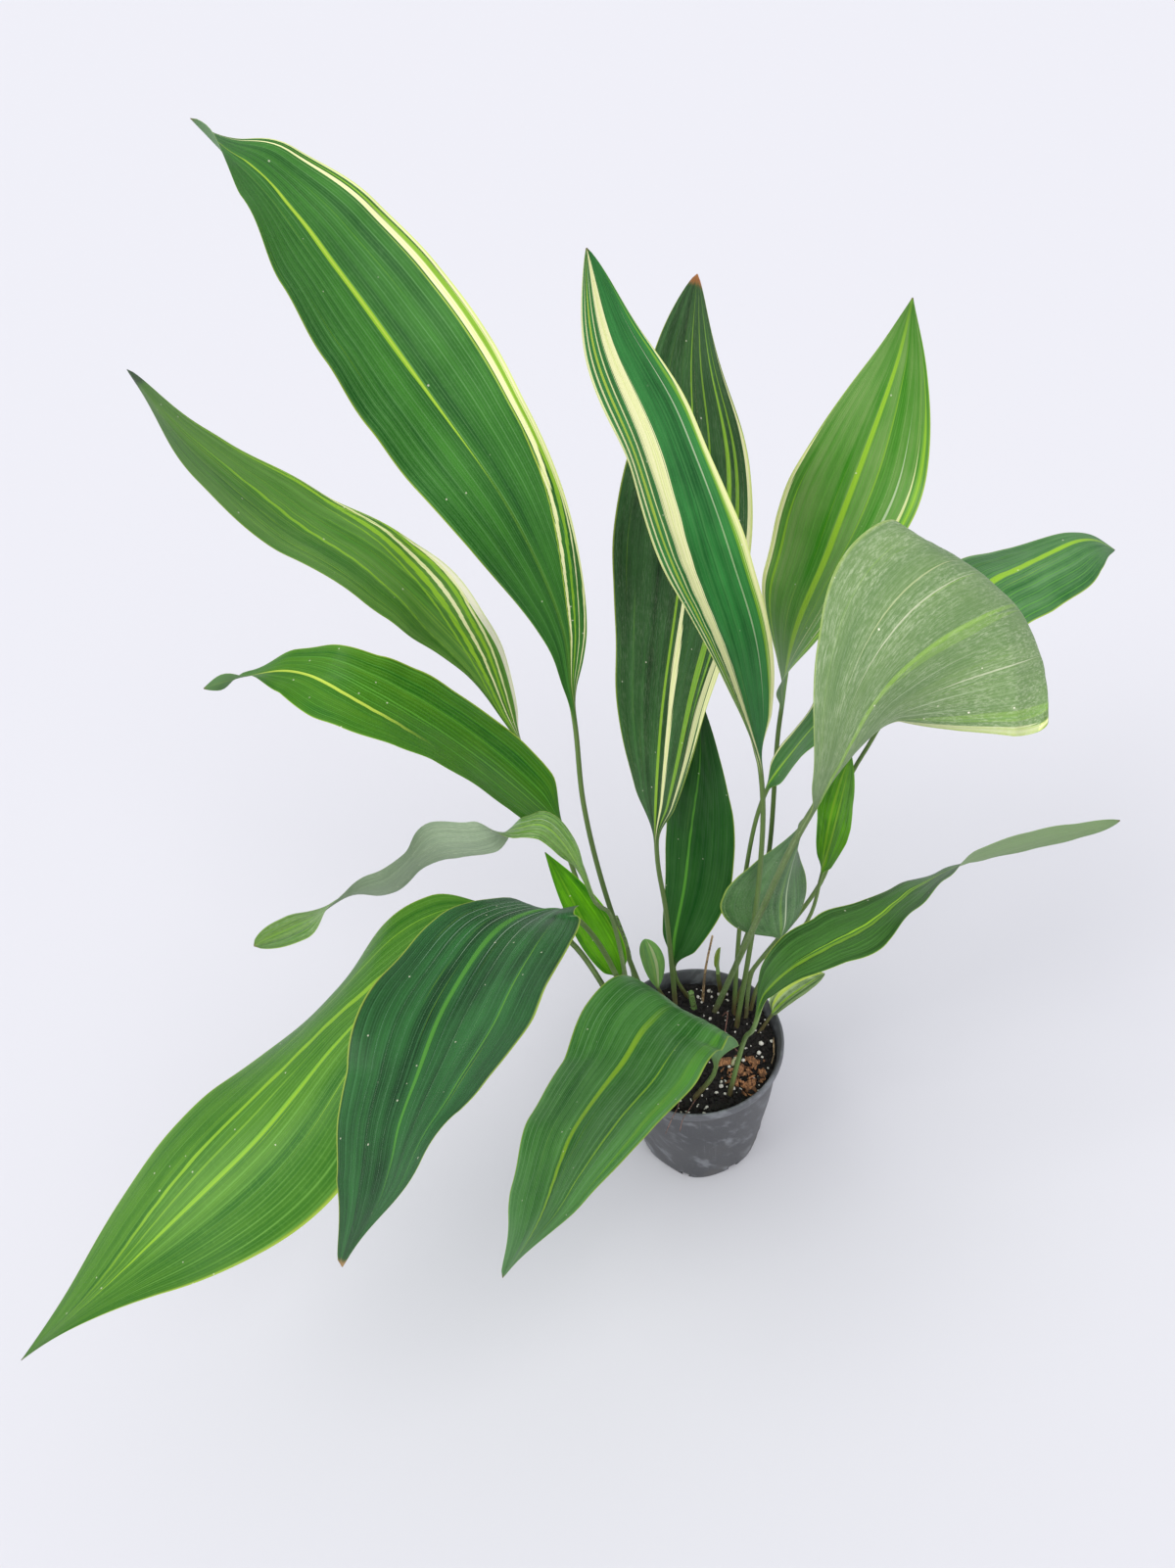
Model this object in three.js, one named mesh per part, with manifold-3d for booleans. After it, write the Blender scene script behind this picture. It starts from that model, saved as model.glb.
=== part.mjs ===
// A potted cast iron plant: broad striped leaves on thin stalks, in a black nursery pot.
// Millimetres, +Z up. The origin is the centre of the pot's underside, and -Y is the front.
import * as THREE from "three";
import { mergeVertices } from "three/addons/utils/BufferGeometryUtils.js";
import Module from "manifold-3d";

const wasm = await Module();
wasm.setup();

// Driving dimensions.
const pot = {
  height: 135,
  rimRadius: 77.5, // outside of the rolled lip
  neckRadius: 73.5, // outside of the wall, just under the lip
  baseRadius: 56,
  wall: 1.6,
  floor: 3,
  lipHeight: 9,
  corner: 3, // bevel between the wall and the underside
  sides: 56,
};
const lip = { under: 1, outerBevel: 1.2, face: 0.3, rise: 1.5, topWidth: 1.4, inner: 2.9 }; // rolled edge
const drain = { count: 8, radius: 4.5, ring: 51.5, length: 20, sides: 14, slant: Math.PI / 5 };
const soil = { top: 121, sink: 1, relief: 1, rings: 8, sides: 44, foot: 5, footInset: 4 };
const gap = 0.35; // between pieces that touch
const stem = { root: 12, clearance: 0.7, holeSides: 14, holeRise: 14 }; // what stands in the soil
const tube = { sides: 10, step: 16 }; // bare stalks
const blade = {
  columns: 5,
  edge: 0.35, // half thickness at the edge
  rib: 0.55, // and at the rib
  tip: 0.5, // half width of the very tip
  flatFrom: 0.12, // share of the blade over which the round stalk turns into a thin blade
  ribEnd: 0.5, // share of the blade over which the rib thins
  stalkTaper: 0.2, // share of the stalk's radius that is lost on its way up
  waveShift: 0.9, // between the waves of the two edges
  stalkStep: 45, // between sections
  step: 22,
  fewest: 8,
  most: 17,
};
const curveSteps = 24; // length samples between two points of a middle line

const colours = {
  pot: 0x2b2c2f,
  soil: 0x1f1915,
  bark: 0x8a4f2a,
  leafGreen: 0x2f7a2c,
  leafDark: 0x1c5a33,
  leafPale: 0x8fae86,
  leafYoung: 0x6cb43a,
  dry: 0xb89a72,
};

// Each leaf: where its stalk leaves the soil, the middle of stalk and blade from there to the tip,
// at which of those points the blade starts, the way it leans (degrees from +X), its full width,
// where along the blade it is widest, how pointed it is, its roll from base to tip in degrees,
// the fold along the rib in degrees, how far its edges curl down, and its edge waves.
const leaves = [
  {
    name: "leaf_left_tallest",
    colour: "leafDark",
    root: [-34, 46],
    spine: [[-58, 56, 260], [-67, 58, 375], [-65, 67, 440], [-65, 73, 476], [-64, 80, 522],
      [-86, 78, 618], [-125, 100, 696], [-167, 120, 768], [-200, 131, 818], [-215, 134, 834],
      [-224, 136, 846], [-229, 137, 853]],
    bladeFrom: 3, lean: 150, width: 99, peak: 0.67, sharp: 1.97,
    roll: [-10, -30, -46, -51, -49, -47, -35, -25, -16, 2, 48],
    fold: 14, curl: -0.1, waves: [2, 2.5, 0.4], stalk: 2.4,
  },
  {
    name: "leaf_left_upper",
    colour: "leafGreen",
    root: [-42, 37],
    spine: [[-74, 64, 235], [-94, 109, 321], [-108, 118, 377], [-129, 108, 495], [-183, 92, 586],
      [-236, 99, 626], [-282, 108, 680], [-306, 118, 729]],
    bladeFrom: 3, lean: 168, width: 72, peak: 0.68, sharp: 2.07,
    roll: [0, -53, -71, -20, -7, 7, 21], fold: 8, curl: 0, waves: [3, 3, 1], stalk: 2.3,
  },
  {
    name: "leaf_left_middle",
    colour: "leafGreen",
    root: [-38, 24],
    spine: [[-64, 44, 228], [-84, 59, 343], [-121, 75, 400], [-167, 83, 448], [-216, 92, 481],
      [-271, 125, 487], [-304, 130, 486], [-336, 117, 489]],
    bladeFrom: 2, lean: 160, width: 79, peak: 0.38, sharp: 1.4,
    roll: [-6, -1, 2, 4, 2, -3, -13, -29, -12, 26, 138], fold: 9, curl: 0, waves: [2, 2, 2], stalk: 2.2,
  },
  {
    name: "leaf_left_twisted",
    colour: "leafPale",
    root: [-50, 12],
    spine: [[-58, 15, 291], [-68, 3, 321], [-78, 8, 363], [-98, 20, 393], [-117, 26, 389],
      [-150, 31, 377], [-185, 44, 367], [-222, 22, 354], [-254, 16, 352], [-286, -1, 347],
      [-320, -25, 356]],
    bladeFrom: 2, lean: 172, width: 50, peak: 0.68, sharp: 1.97,
    roll: [-117, -126, -46, 7, 86, 91, 52, 62, 38, 15, -1], fold: 4, curl: 0, waves: [2, 3, 0], stalk: 2.1,
  },
  {
    name: "leaf_left_young",
    colour: "leafYoung",
    root: [-53, 26],
    spine: [[-57, 27, 195], [-77, 30, 278], [-102, 42, 344]],
    bladeFrom: 1, lean: 110, width: 34, peak: 0.41, sharp: 1.8,
    roll: [-4, -4], fold: 8, curl: 0, waves: [0.5, 2, 0], stalk: 1.9,
  },
  {
    name: "leaf_front_left_long",
    colour: "leafGreen",
    root: [-48, 0],
    spine: [[-90, -4, 284], [-126, -13, 342], [-185, -29, 348], [-254, -72, 321], [-329, -136, 278],
      [-419, -186, 243], [-492, -242, 218]],
    bladeFrom: 2, lean: 214, width: 134, peak: 0.47, sharp: 1.95,
    roll: [-19, 13, -17, 30], fold: 7, curl: 0.45, waves: [3, 2.5, 1], stalk: 2.6,
  },
  {
    name: "leaf_front_left_drooping",
    colour: "leafDark",
    root: [-38, -14],
    spine: [[-66, -8, 271], [-86, -32, 349], [-97, -42, 368], [-113, -54, 377], [-132, -85, 393],
      [-160, -140, 401], [-180, -189, 403], [-194, -219, 399], [-208, -258, 393], [-230, -295, 385]],
    bladeFrom: 2, lean: 218, width: 122, peak: 0.51, sharp: 1.07,
    roll: [40, 19, 12, 11, 20, 33, 49], fold: 10, curl: -0.02, waves: [2, 2.5, 0], stalk: 2.4,
  },
  {
    name: "leaf_front_drooping",
    colour: "leafDark",
    root: [-8, -50],
    spine: [[11, -50, 160], [2, -41, 203], [-20, -49, 248], [-39, -73, 259], [-62, -115, 266],
      [-102, -172, 276], [-136, -220, 269], [-160, -250, 256]],
    bladeFrom: 1, lean: 225, width: 120, peak: 0.5, sharp: 1.12,
    roll: [-2, -2, 3, 20, 27, 35, 55], fold: 8, curl: 0.12, waves: [2, 2, 0], stalk: 2.4,
  },
  {
    name: "leaf_centre_cream",
    colour: "leafDark",
    root: [40, 16],
    spine: [[58, 0, 323], [59, -6, 437], [46, 6, 526], [18, 27, 605], [0, 46, 671], [-17, 58, 726],
      [-22, 65, 779]],
    bladeFrom: 2, lean: 135, width: 78, peak: 0.52, sharp: 1.8,
    roll: [14, 1, 0, -15], fold: 18, curl: -0.12, waves: [1.5, 3, 0], stalk: 2.3,
  },
  {
    name: "leaf_centre_dark",
    colour: "leafDark",
    root: [-10, 50],
    spine: [[-11, 53, 245], [-14, 55, 315], [-1, 75, 428], [21, 95, 533], [37, 107, 624],
      [40, 113, 688], [46, 114, 740]],
    bladeFrom: 2, lean: 30, width: 105, peak: 0.55, sharp: 1.75,
    roll: [8, 11, 26, 0], fold: 8, curl: 0, waves: [2, 3, 2], stalk: 2.4,
  },
  {
    name: "leaf_right_upper",
    colour: "leafGreen",
    root: [32, 47],
    spine: [[76, 70, 245], [93, 90, 404], [108, 103, 476], [139, 121, 533], [167, 136, 594],
      [186, 150, 647], [195, 160, 690]],
    bladeFrom: 2, lean: 35, width: 102, peak: 0.46, sharp: 2,
    roll: [-60, -17, 26, 19], fold: 14, curl: -0.05, waves: [2, 2.5, 1], stalk: 2.3,
  },
  {
    name: "leaf_right_pale",
    colour: "leafPale",
    root: [24, 36],
    spine: [[48, -41, 325], [62, -124, 505], [82, -127, 551], [106, -112, 582], [141, -90, 598],
      [181, -66, 597], [206, -41, 575], [204, -21, 515], [195, -15, 473]],
    bladeFrom: 2, lean: 79, width: 142, peak: 0.58, sharp: 1.78,
    roll: [-116, -132, -125, -127], fold: 2, curl: -0.41, waves: [5, 2.3, 3.3], stalk: 2.6,
  },
  {
    name: "leaf_right_far",
    colour: "leafDark",
    root: [44, 42],
    spine: [[58, 48, 150], [126, 69, 238], [145, 75, 342], [164, 77, 385], [202, 98, 446],
      [254, 114, 486], [286, 122, 488], [320, 132, 489], [341, 143, 488], [356, 152, 483],
      [373, 160, 471]],
    bladeFrom: 4, lean: 20, width: 83, peak: 0.46, sharp: 1.74,
    roll: [-15, -26, -1, 9, 10, 23, 20], fold: -5, curl: 0.2, waves: [2, 2, 0], stalk: 2.1,
  },
  {
    name: "leaf_right_twisted",
    colour: "leafGreen",
    root: [21, -52],
    spine: [[33, -60, 205], [35, -101, 284], [45, -90, 311], [65, -82, 327], [94, -76, 335],
      [125, -68, 337], [159, -58, 353], [189, -53, 367], [216, -55, 379], [248, -60, 392],
      [274, -67, 403], [289, -71, 411]],
    bladeFrom: 2, lean: 352, width: 60, peak: 0.44, sharp: 1.41,
    roll: [14, -3, -4, -11, -15, -22, -40, -59, -64, -73, -93],
    fold: 5, curl: 0.05, waves: [1.5, 3, 0], stalk: 2.2,
  },
  {
    name: "leaf_centre_small",
    colour: "leafDark",
    root: [2, 56],
    spine: [[-8, 55, 163], [19, 66, 263], [26, 69, 367], [28, 72, 456]],
    bladeFrom: 1, lean: 30, width: 64, peak: 0.48, sharp: 1.65,
    roll: [20, 23, 13], fold: 6, curl: 0.05, waves: [1, 3, 0], stalk: 2,
  },
  {
    name: "leaf_right_folded",
    colour: "leafPale",
    root: [50, 24],
    spine: [[57, 25, 185], [77, 15, 233], [80, 18, 285], [101, 29, 354]],
    bladeFrom: 2, lean: 15, width: 95, peak: 0.48, sharp: 1.5,
    roll: [95, 130], fold: -9, curl: 0.33, waves: [1, 2, 0], stalk: 2,
  },
  {
    name: "leaf_right_narrow",
    colour: "leafYoung",
    root: [56, 32],
    spine: [[64, 35, 152], [110, 50, 211], [121, 52, 264], [134, 58, 328], [142, 58, 386]],
    bladeFrom: 3, lean: 15, width: 43, peak: 0.51, sharp: 1.8,
    roll: [4, 6], fold: 10, curl: 0, waves: [1, 2, 0], stalk: 1.9,
  },
  {
    name: "leaf_right_inner",
    colour: "leafDark",
    root: [40, 30],
    spine: [[55, 39, 294], [72, 42, 375], [97, 45, 416], [127, 48, 454], [151, 60, 486],
      [181, 67, 501]],
    bladeFrom: 2, lean: 15, width: 58, peak: 0.49, sharp: 1.75,
    roll: [-8, -27, -15, -7], fold: 6, curl: 0.05, waves: [1, 2, 0], stalk: 2.1,
  },
  {
    name: "leaf_seedling_left",
    colour: "leafYoung",
    root: [-18, 56],
    spine: [[-24, 54, 142], [-27, 52, 180], [-31, 49, 217]],
    bladeFrom: 1, lean: 262, width: 24, peak: 0.5, sharp: 1.6,
    roll: [0, 0], fold: 30, curl: 0, waves: [0.5, 1, 0], stalk: 1.8,
  },
  {
    name: "leaf_seedling_right",
    colour: "leafYoung",
    root: [60, 8],
    spine: [[70, 9, 140], [82, 12, 154], [101, 18, 163], [120, 24, 168]],
    bladeFrom: 1, lean: 15, width: 30, peak: 0.5, sharp: 1.6,
    roll: [0, 0], fold: 35, curl: 0, waves: [0.5, 1, 0], stalk: 1.8,
  },
  {
    name: "shoot_rolled",
    colour: "leafYoung",
    root: [33, 57],
    spine: [[31, 55, 150], [34, 53, 187]],
    bladeFrom: 1, lean: 0, width: 13, peak: 0.4, sharp: 1.2,
    roll: [0, 0], fold: 30, curl: 0, waves: [0, 1, 0], stalk: 2.4,
  },
];

// Stalks with no blade: where they leave the soil, their middle line and their radius at each end.
const bareStalks = [
  {
    name: "stalk_cut_left",
    colour: "leafGreen",
    root: [-34, 58],
    spine: [[-43, 60, 145], [-47, 61, 198], [-53, 61, 237]],
    stalk: 2, endRadius: 1.5,
  },
  {
    name: "sheath_cut_centre",
    colour: "dry",
    root: [6, 42],
    spine: [[5, 41, 132], [4, 40, 147]],
    stalk: 3.2, endRadius: 2.6,
  },
  {
    name: "stalk_dry_centre",
    colour: "dry",
    root: [15, 49],
    spine: [[19, 47, 168], [26, 43, 216]],
    stalk: 1.3, endRadius: 0.9,
  },
];

// Chips of bark lying on the soil: centre, half length, half width, half height, turn in degrees.
const barkChips = [
  { at: [23, -20], size: [7, 4, 2.2], turn: 20 },
  { at: [34, -31], size: [6, 4.5, 2.4], turn: 75 },
  { at: [47, -23], size: [6.5, 3.5, 2], turn: 130 },
  { at: [27, -41], size: [5, 3.5, 2], turn: 160 },
  { at: [40, -45], size: [7, 4, 2.3], turn: 35 },
  { at: [53, -36], size: [5, 3.5, 1.8], turn: 100 },
];

function smooth(t) {
  const x = THREE.MathUtils.clamp(t, 0, 1);
  return x * x * (3 - 2 * x);
}

// A value given at even steps from the blade's base to its tip, eased between them.
function along(values, u) {
  const place = THREE.MathUtils.clamp(u, 0, 1) * (values.length - 1);
  const i = Math.min(Math.floor(place), values.length - 2);
  return THREE.MathUtils.lerp(values[i], values[i + 1], smooth(place - i));
}

// The blade's half width as a share of its widest, from a narrow base to a drawn-out tip.
function bladeShare(u, peak, sharp) {
  const x = THREE.MathUtils.clamp(u, 0, 1);
  return (x / peak) ** (sharp * peak) * ((1 - x) / (1 - peak)) ** (sharp * (1 - peak));
}

function closed(positions, index) {
  const geometry = new THREE.BufferGeometry();
  geometry.setAttribute("position", new THREE.Float32BufferAttribute(positions, 3));
  geometry.setIndex(index);
  geometry.computeVertexNormals();
  return geometry;
}

// The middle line of a leaf, from the bottom of its hole to its tip.
function spineCurve(leaf) {
  const foot = new THREE.Vector3(...leaf.root, soil.top);
  const points = leaf.spine.map((p) => new THREE.Vector3(...p));
  const rise = points[0].clone().sub(foot).normalize();
  const bottom = foot.clone().addScaledVector(rise, -stem.root);
  const curve = new THREE.CatmullRomCurve3([bottom, foot, ...points]);
  curve.arcLengthDivisions = curveSteps * (points.length + 1);
  const lengths = curve.getLengths();
  const bladeStart = lengths[curveSteps * (leaf.bladeFrom + 1)];
  return { curve, bottom, rise, bladeStart, length: lengths.at(-1) };
}

// A bare stalk: a round tube along its middle line, closed at both ends.
function stalkGeometry(stalk) {
  const { curve, length } = spineCurve(stalk);
  const steps = Math.max(4, Math.round(length / tube.step));
  const frames = curve.computeFrenetFrames(steps);
  const positions = [];
  const index = [];
  const at = (ring, i) => ring * tube.sides + (i % tube.sides);
  for (let k = 0; k <= steps; k++) {
    const centre = curve.getPointAt(k / steps);
    const radius = THREE.MathUtils.lerp(stalk.stalk, stalk.endRadius, k / steps);
    for (let i = 0; i < tube.sides; i++) {
      const turn = (i / tube.sides) * 2 * Math.PI;
      const p = centre.clone().addScaledVector(frames.normals[k], radius * Math.cos(turn));
      p.addScaledVector(frames.binormals[k], radius * Math.sin(turn));
      positions.push(p.x, p.y, p.z);
      if (k === steps) continue;
      index.push(at(k, i), at(k, i + 1), at(k + 1, i + 1), at(k, i), at(k + 1, i + 1), at(k + 1, i));
    }
  }
  for (let i = 1; i < tube.sides - 1; i++) {
    index.push(at(0, 0), at(0, i + 1), at(0, i), at(steps, 0), at(steps, i), at(steps, i + 1));
  }
  return closed(positions, index);
}

// A chip of bark: a flattened lump with knocked corners, just clear of the soil under it.
function chipGeometry(chip) {
  const ball = new THREE.IcosahedronGeometry(1, 1).deleteAttribute("normal").deleteAttribute("uv");
  const lump = mergeVertices(ball);
  const place = lump.attributes.position;
  for (let i = 0; i < place.count; i++) {
    const v = new THREE.Vector3().fromBufferAttribute(place, i);
    const knock = 1 + 0.22 * Math.sin(5 * v.x + 7 * v.y + 3 * v.z + chip.turn);
    place.setXYZ(i, v.x * knock, v.y * knock, Math.max(v.z, -0.6) * knock);
  }
  lump.scale(...chip.size);
  lump.rotateZ(THREE.MathUtils.degToRad(chip.turn));
  let rest = -Infinity; // lowest height at which no point of the chip enters the soil
  for (let i = 0; i < place.count; i++) {
    const x = chip.at[0] + place.getX(i);
    const y = chip.at[1] + place.getY(i);
    rest = Math.max(rest, soilHeight(x, y) - place.getZ(i));
  }
  lump.translate(...chip.at, rest + gap);
  lump.computeVertexNormals();
  return lump;
}

// Where the sections of a leaf are cut: a few along the stalk, then even steps along the blade.
function stations(bladeStart, length) {
  const stalkSteps = Math.max(3, Math.round(bladeStart / blade.stalkStep));
  const wanted = Math.round((length - bladeStart) / blade.step);
  const bladeSteps = THREE.MathUtils.clamp(wanted, blade.fewest, blade.most);
  const list = [];
  for (let i = 0; i < stalkSteps; i++) list.push((i / stalkSteps) * bladeStart);
  for (let i = 0; i <= bladeSteps; i++) list.push(bladeStart + (i / bladeSteps) * (length - bladeStart));
  return list;
}

// One leaf, stalk and blade in one closed body. A row of points on the upper face and a row on the
// lower face follow the spine, and both faces are split along the same diagonals.
function leafGeometry(leaf) {
  const { curve, bladeStart, length } = spineCurve(leaf);
  const lean = THREE.MathUtils.degToRad(leaf.lean);
  const levelSide = new THREE.Vector3(-Math.sin(lean), Math.cos(lean), 0);
  const last = blade.columns - 1;
  const positions = [];
  const cuts = stations(bladeStart, length);
  for (const s of cuts) {
    const at = Math.min(1, s / length);
    const centre = curve.getPointAt(at);
    const tangent = curve.getTangentAt(at);
    const side = levelSide.clone().addScaledVector(tangent, -levelSide.dot(tangent)).normalize();
    const up = new THREE.Vector3().crossVectors(tangent, side);
    const u = (s - bladeStart) / (length - bladeStart);
    const roll = THREE.MathUtils.degToRad(along(leaf.roll, u));
    side.applyAxisAngle(tangent, roll);
    up.applyAxisAngle(tangent, roll);
    const flat = smooth(u / blade.flatFrom); // 0 on the round stalk, 1 where the section is a thin blade
    const stalkRadius = leaf.stalk * (1 - blade.stalkTaper * THREE.MathUtils.clamp(s / bladeStart, 0, 1));
    const share = u > 0 ? bladeShare(u, leaf.peak, leaf.sharp) : 0;
    const thin = THREE.MathUtils.lerp(stalkRadius, blade.tip, smooth(u));
    const half = thin + (leaf.width / 2 - thin) * share;
    const fold = THREE.MathUtils.degToRad(leaf.fold) * flat;
    for (const face of [1, -1]) {
      for (let j = 0; j <= last; j++) {
        const x = (2 * j) / last - 1;
        const angle = ((last - j + 0.5) / (last + 1)) * Math.PI; // the same column on a round stalk
        const [waveHeight, waveCount, wavePhase] = leaf.waves;
        const waveAngle = 2 * Math.PI * waveCount * u + wavePhase + Math.sign(x) * blade.waveShift;
        const wave = waveHeight * Math.sin(waveAngle);
        const lift = half * Math.abs(x) * Math.sin(fold) - leaf.curl * half * x * x * share
          + wave * x * x * Math.sin(Math.PI * THREE.MathUtils.clamp(u, 0, 1));
        const across = THREE.MathUtils.lerp(thin * Math.cos(angle), half * x * Math.cos(fold), flat);
        const ribHalf = THREE.MathUtils.lerp(stalkRadius, blade.rib, smooth(u / blade.ribEnd));
        const bladeHalf = THREE.MathUtils.lerp(x === 0 ? ribHalf : blade.edge, blade.edge, smooth(u));
        const thick = THREE.MathUtils.lerp(thin * Math.sin(angle), bladeHalf, flat);
        const p = centre.clone().addScaledVector(side, across);
        p.addScaledVector(up, face * thick + lift * flat);
        positions.push(p.x, p.y, p.z);
      }
    }
  }
  return closed(positions, sleeveIndex(cuts.length, blade.columns));
}

// Triangles between rings that each hold an upper row and then a lower row of points.
function sleeveIndex(rings, columns) {
  const index = [];
  const quad = (a, b, c, d) => index.push(a, b, c, a, c, d);
  for (let i = 0; i < rings - 1; i++) {
    const top = 2 * columns * i;
    const next = top + 2 * columns;
    for (let j = 0; j < columns - 1; j++) {
      index.push(top + j, next + j + 1, top + j + 1, top + j, next + j, next + j + 1);
      const low = top + columns + j;
      const lowNext = next + columns + j;
      index.push(low, low + 1, lowNext + 1, low, lowNext + 1, lowNext);
    }
    quad(top, top + columns, next + columns, next);
    quad(next + columns - 1, next + 2 * columns - 1, top + 2 * columns - 1, top + columns - 1);
  }
  const end = 2 * columns * (rings - 1);
  for (let j = 0; j < columns - 1; j++) {
    quad(j, j + 1, columns + j + 1, columns + j);
    quad(end + columns + j, end + columns + j + 1, end + j + 1, end + j);
  }
  return index;
}

function toSolid(geometry) {
  const bare = geometry.clone();
  for (const name of ["normal", "uv"]) bare.deleteAttribute(name);
  const merged = mergeVertices(bare, 1e-4);
  return new wasm.Manifold(new wasm.Mesh({
    numProp: 3,
    vertProperties: new Float32Array(merged.attributes.position.array),
    triVerts: new Uint32Array(merged.index.array),
  }));
}

function fromSolid(solid) {
  const mesh = solid.getMesh();
  const positions = [];
  for (let i = 0; i < mesh.numVert; i++) {
    positions.push(...mesh.vertProperties.subarray(i * mesh.numProp, i * mesh.numProp + 3));
  }
  return closed(positions, Array.from(mesh.triVerts));
}

// Radius of the pot's outer wall at a height.
function wallRadius(z) {
  return THREE.MathUtils.lerp(pot.baseRadius, pot.neckRadius, z / (pot.height - pot.lipHeight));
}

function potGeometry() {
  const lipUnder = pot.height - pot.lipHeight;
  const inner = (z) => wallRadius(z) - pot.wall;
  const outline = [
    [0, 0],
    [pot.baseRadius - pot.corner, 0],
    [wallRadius(pot.corner), pot.corner],
    [wallRadius(lipUnder - lip.under), lipUnder - lip.under],
    [pot.rimRadius - lip.outerBevel, lipUnder],
    [pot.rimRadius - lip.face, lipUnder + lip.rise],
    [pot.rimRadius, pot.height - lip.rise],
    [pot.rimRadius - 1, pot.height],
    [pot.rimRadius - 1 - lip.topWidth, pot.height],
    [pot.rimRadius - lip.inner, pot.height - lip.outerBevel],
    [inner(lipUnder) + 2 * lip.face, lipUnder],
    [inner(pot.floor + pot.corner), pot.floor + pot.corner],
    [inner(pot.floor) - pot.corner, pot.floor],
    [0, pot.floor],
  ];
  const body = new THREE.LatheGeometry(outline.map((p) => new THREE.Vector2(...p)), pot.sides);
  body.rotateX(Math.PI / 2); // the lathe turns about Y
  let solid = toSolid(body);
  for (let i = 0; i < drain.count; i++) {
    const turn = ((i + 0.5) / drain.count) * 2 * Math.PI;
    const hole = new THREE.CylinderGeometry(drain.radius, drain.radius, drain.length, drain.sides);
    hole.rotateX(Math.PI / 2);
    hole.rotateY(drain.slant); // slanted through the corner of the pot
    hole.translate(drain.ring, 0, 0);
    hole.rotateZ(turn);
    solid = solid.subtract(toSolid(hole));
  }
  return fromSolid(solid);
}

// Height of the lumpy potting mix.
function soilHeight(x, y) {
  const lumps = Math.sin(x * 0.21 + 1) * Math.cos(y * 0.19) + 0.6 * Math.sin(x * 0.43 - y * 0.37 + 2);
  return soil.top - soil.sink + soil.relief * lumps;
}

function soilGeometry() {
  const topRadius = wallRadius(soil.top) - pot.wall - gap;
  const lowZ = pot.floor + gap;
  const lowRadius = wallRadius(lowZ) - pot.wall - gap - soil.footInset;
  const footZ = lowZ + soil.foot;
  const positions = [0, 0, soilHeight(0, 0)];
  const index = [];
  const rows = [];
  for (let k = 1; k <= soil.rings; k++) rows.push({ radius: (topRadius * k) / soil.rings, onTop: true });
  rows.push({ radius: wallRadius(footZ) - pot.wall - gap, z: footZ }, { radius: lowRadius, z: lowZ });
  for (const row of rows) {
    for (let i = 0; i < soil.sides; i++) {
      const turn = (i / soil.sides) * 2 * Math.PI;
      const x = row.radius * Math.cos(turn);
      const y = row.radius * Math.sin(turn);
      positions.push(x, y, row.onTop ? soilHeight(x, y) : row.z);
    }
  }
  positions.push(0, 0, lowZ);
  const at = (row, i) => 1 + row * soil.sides + (i % soil.sides);
  const bottom = positions.length / 3 - 1;
  for (let i = 0; i < soil.sides; i++) {
    index.push(0, at(0, i), at(0, i + 1));
    for (let r = 0; r < rows.length - 1; r++) {
      index.push(at(r, i), at(r + 1, i), at(r + 1, i + 1), at(r, i), at(r + 1, i + 1), at(r, i + 1));
    }
    index.push(at(rows.length - 1, i), bottom, at(rows.length - 1, i + 1));
  }
  let solid = toSolid(closed(positions, index));
  for (const plantPiece of [...leaves, ...bareStalks]) solid = solid.subtract(toSolid(holeFor(plantPiece)));
  return fromSolid(solid);
}

// The plain round hole that a stalk stands in.
function holeFor(piece) {
  const { bottom, rise } = spineCurve(piece);
  const length = stem.root + stem.holeRise;
  const radius = piece.stalk + stem.clearance;
  const hole = new THREE.CylinderGeometry(radius, radius, length, stem.holeSides);
  hole.translate(0, length / 2 - gap, 0);
  hole.applyQuaternion(new THREE.Quaternion().setFromUnitVectors(new THREE.Vector3(0, 1, 0), rise));
  hole.translate(bottom.x, bottom.y, bottom.z);
  return hole;
}

function addPiece(group, name, geometry, colour, roughness) {
  const material = new THREE.MeshStandardMaterial({ color: colours[colour], roughness, metalness: 0 });
  const mesh = new THREE.Mesh(geometry, material);
  mesh.name = name;
  group.add(mesh);
}

const plant = new THREE.Group();
addPiece(plant, "pot", potGeometry(), "pot", 0.55);
addPiece(plant, "soil", soilGeometry(), "soil", 0.95);
for (const leaf of leaves) addPiece(plant, leaf.name, leafGeometry(leaf), leaf.colour, 0.45);
for (const stalk of bareStalks) addPiece(plant, stalk.name, stalkGeometry(stalk), stalk.colour, 0.6);
barkChips.forEach((chip, i) => addPiece(plant, `bark_chip_${i + 1}`, chipGeometry(chip), "bark", 0.9));

export default plant;
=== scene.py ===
# A potted cast iron plant in a black nursery pot: striped leaves, potting mix and pot, dressed for a render.
import math
import random

import bmesh
import bpy
import numpy as np
from mathutils import Matrix, Vector, noise


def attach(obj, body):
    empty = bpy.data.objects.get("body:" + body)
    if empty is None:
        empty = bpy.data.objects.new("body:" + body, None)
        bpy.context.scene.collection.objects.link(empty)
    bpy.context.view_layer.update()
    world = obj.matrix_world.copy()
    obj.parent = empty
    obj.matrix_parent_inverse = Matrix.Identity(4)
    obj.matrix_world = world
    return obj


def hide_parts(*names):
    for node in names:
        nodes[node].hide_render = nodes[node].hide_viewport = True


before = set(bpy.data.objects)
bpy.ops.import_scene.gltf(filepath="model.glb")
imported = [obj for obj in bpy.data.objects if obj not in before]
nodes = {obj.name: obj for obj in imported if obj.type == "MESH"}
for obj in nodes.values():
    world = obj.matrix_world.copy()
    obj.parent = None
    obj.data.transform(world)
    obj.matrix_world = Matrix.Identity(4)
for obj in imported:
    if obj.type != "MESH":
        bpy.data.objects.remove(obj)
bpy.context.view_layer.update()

soilTop = 0.121  # mean height of the potting mix
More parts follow.
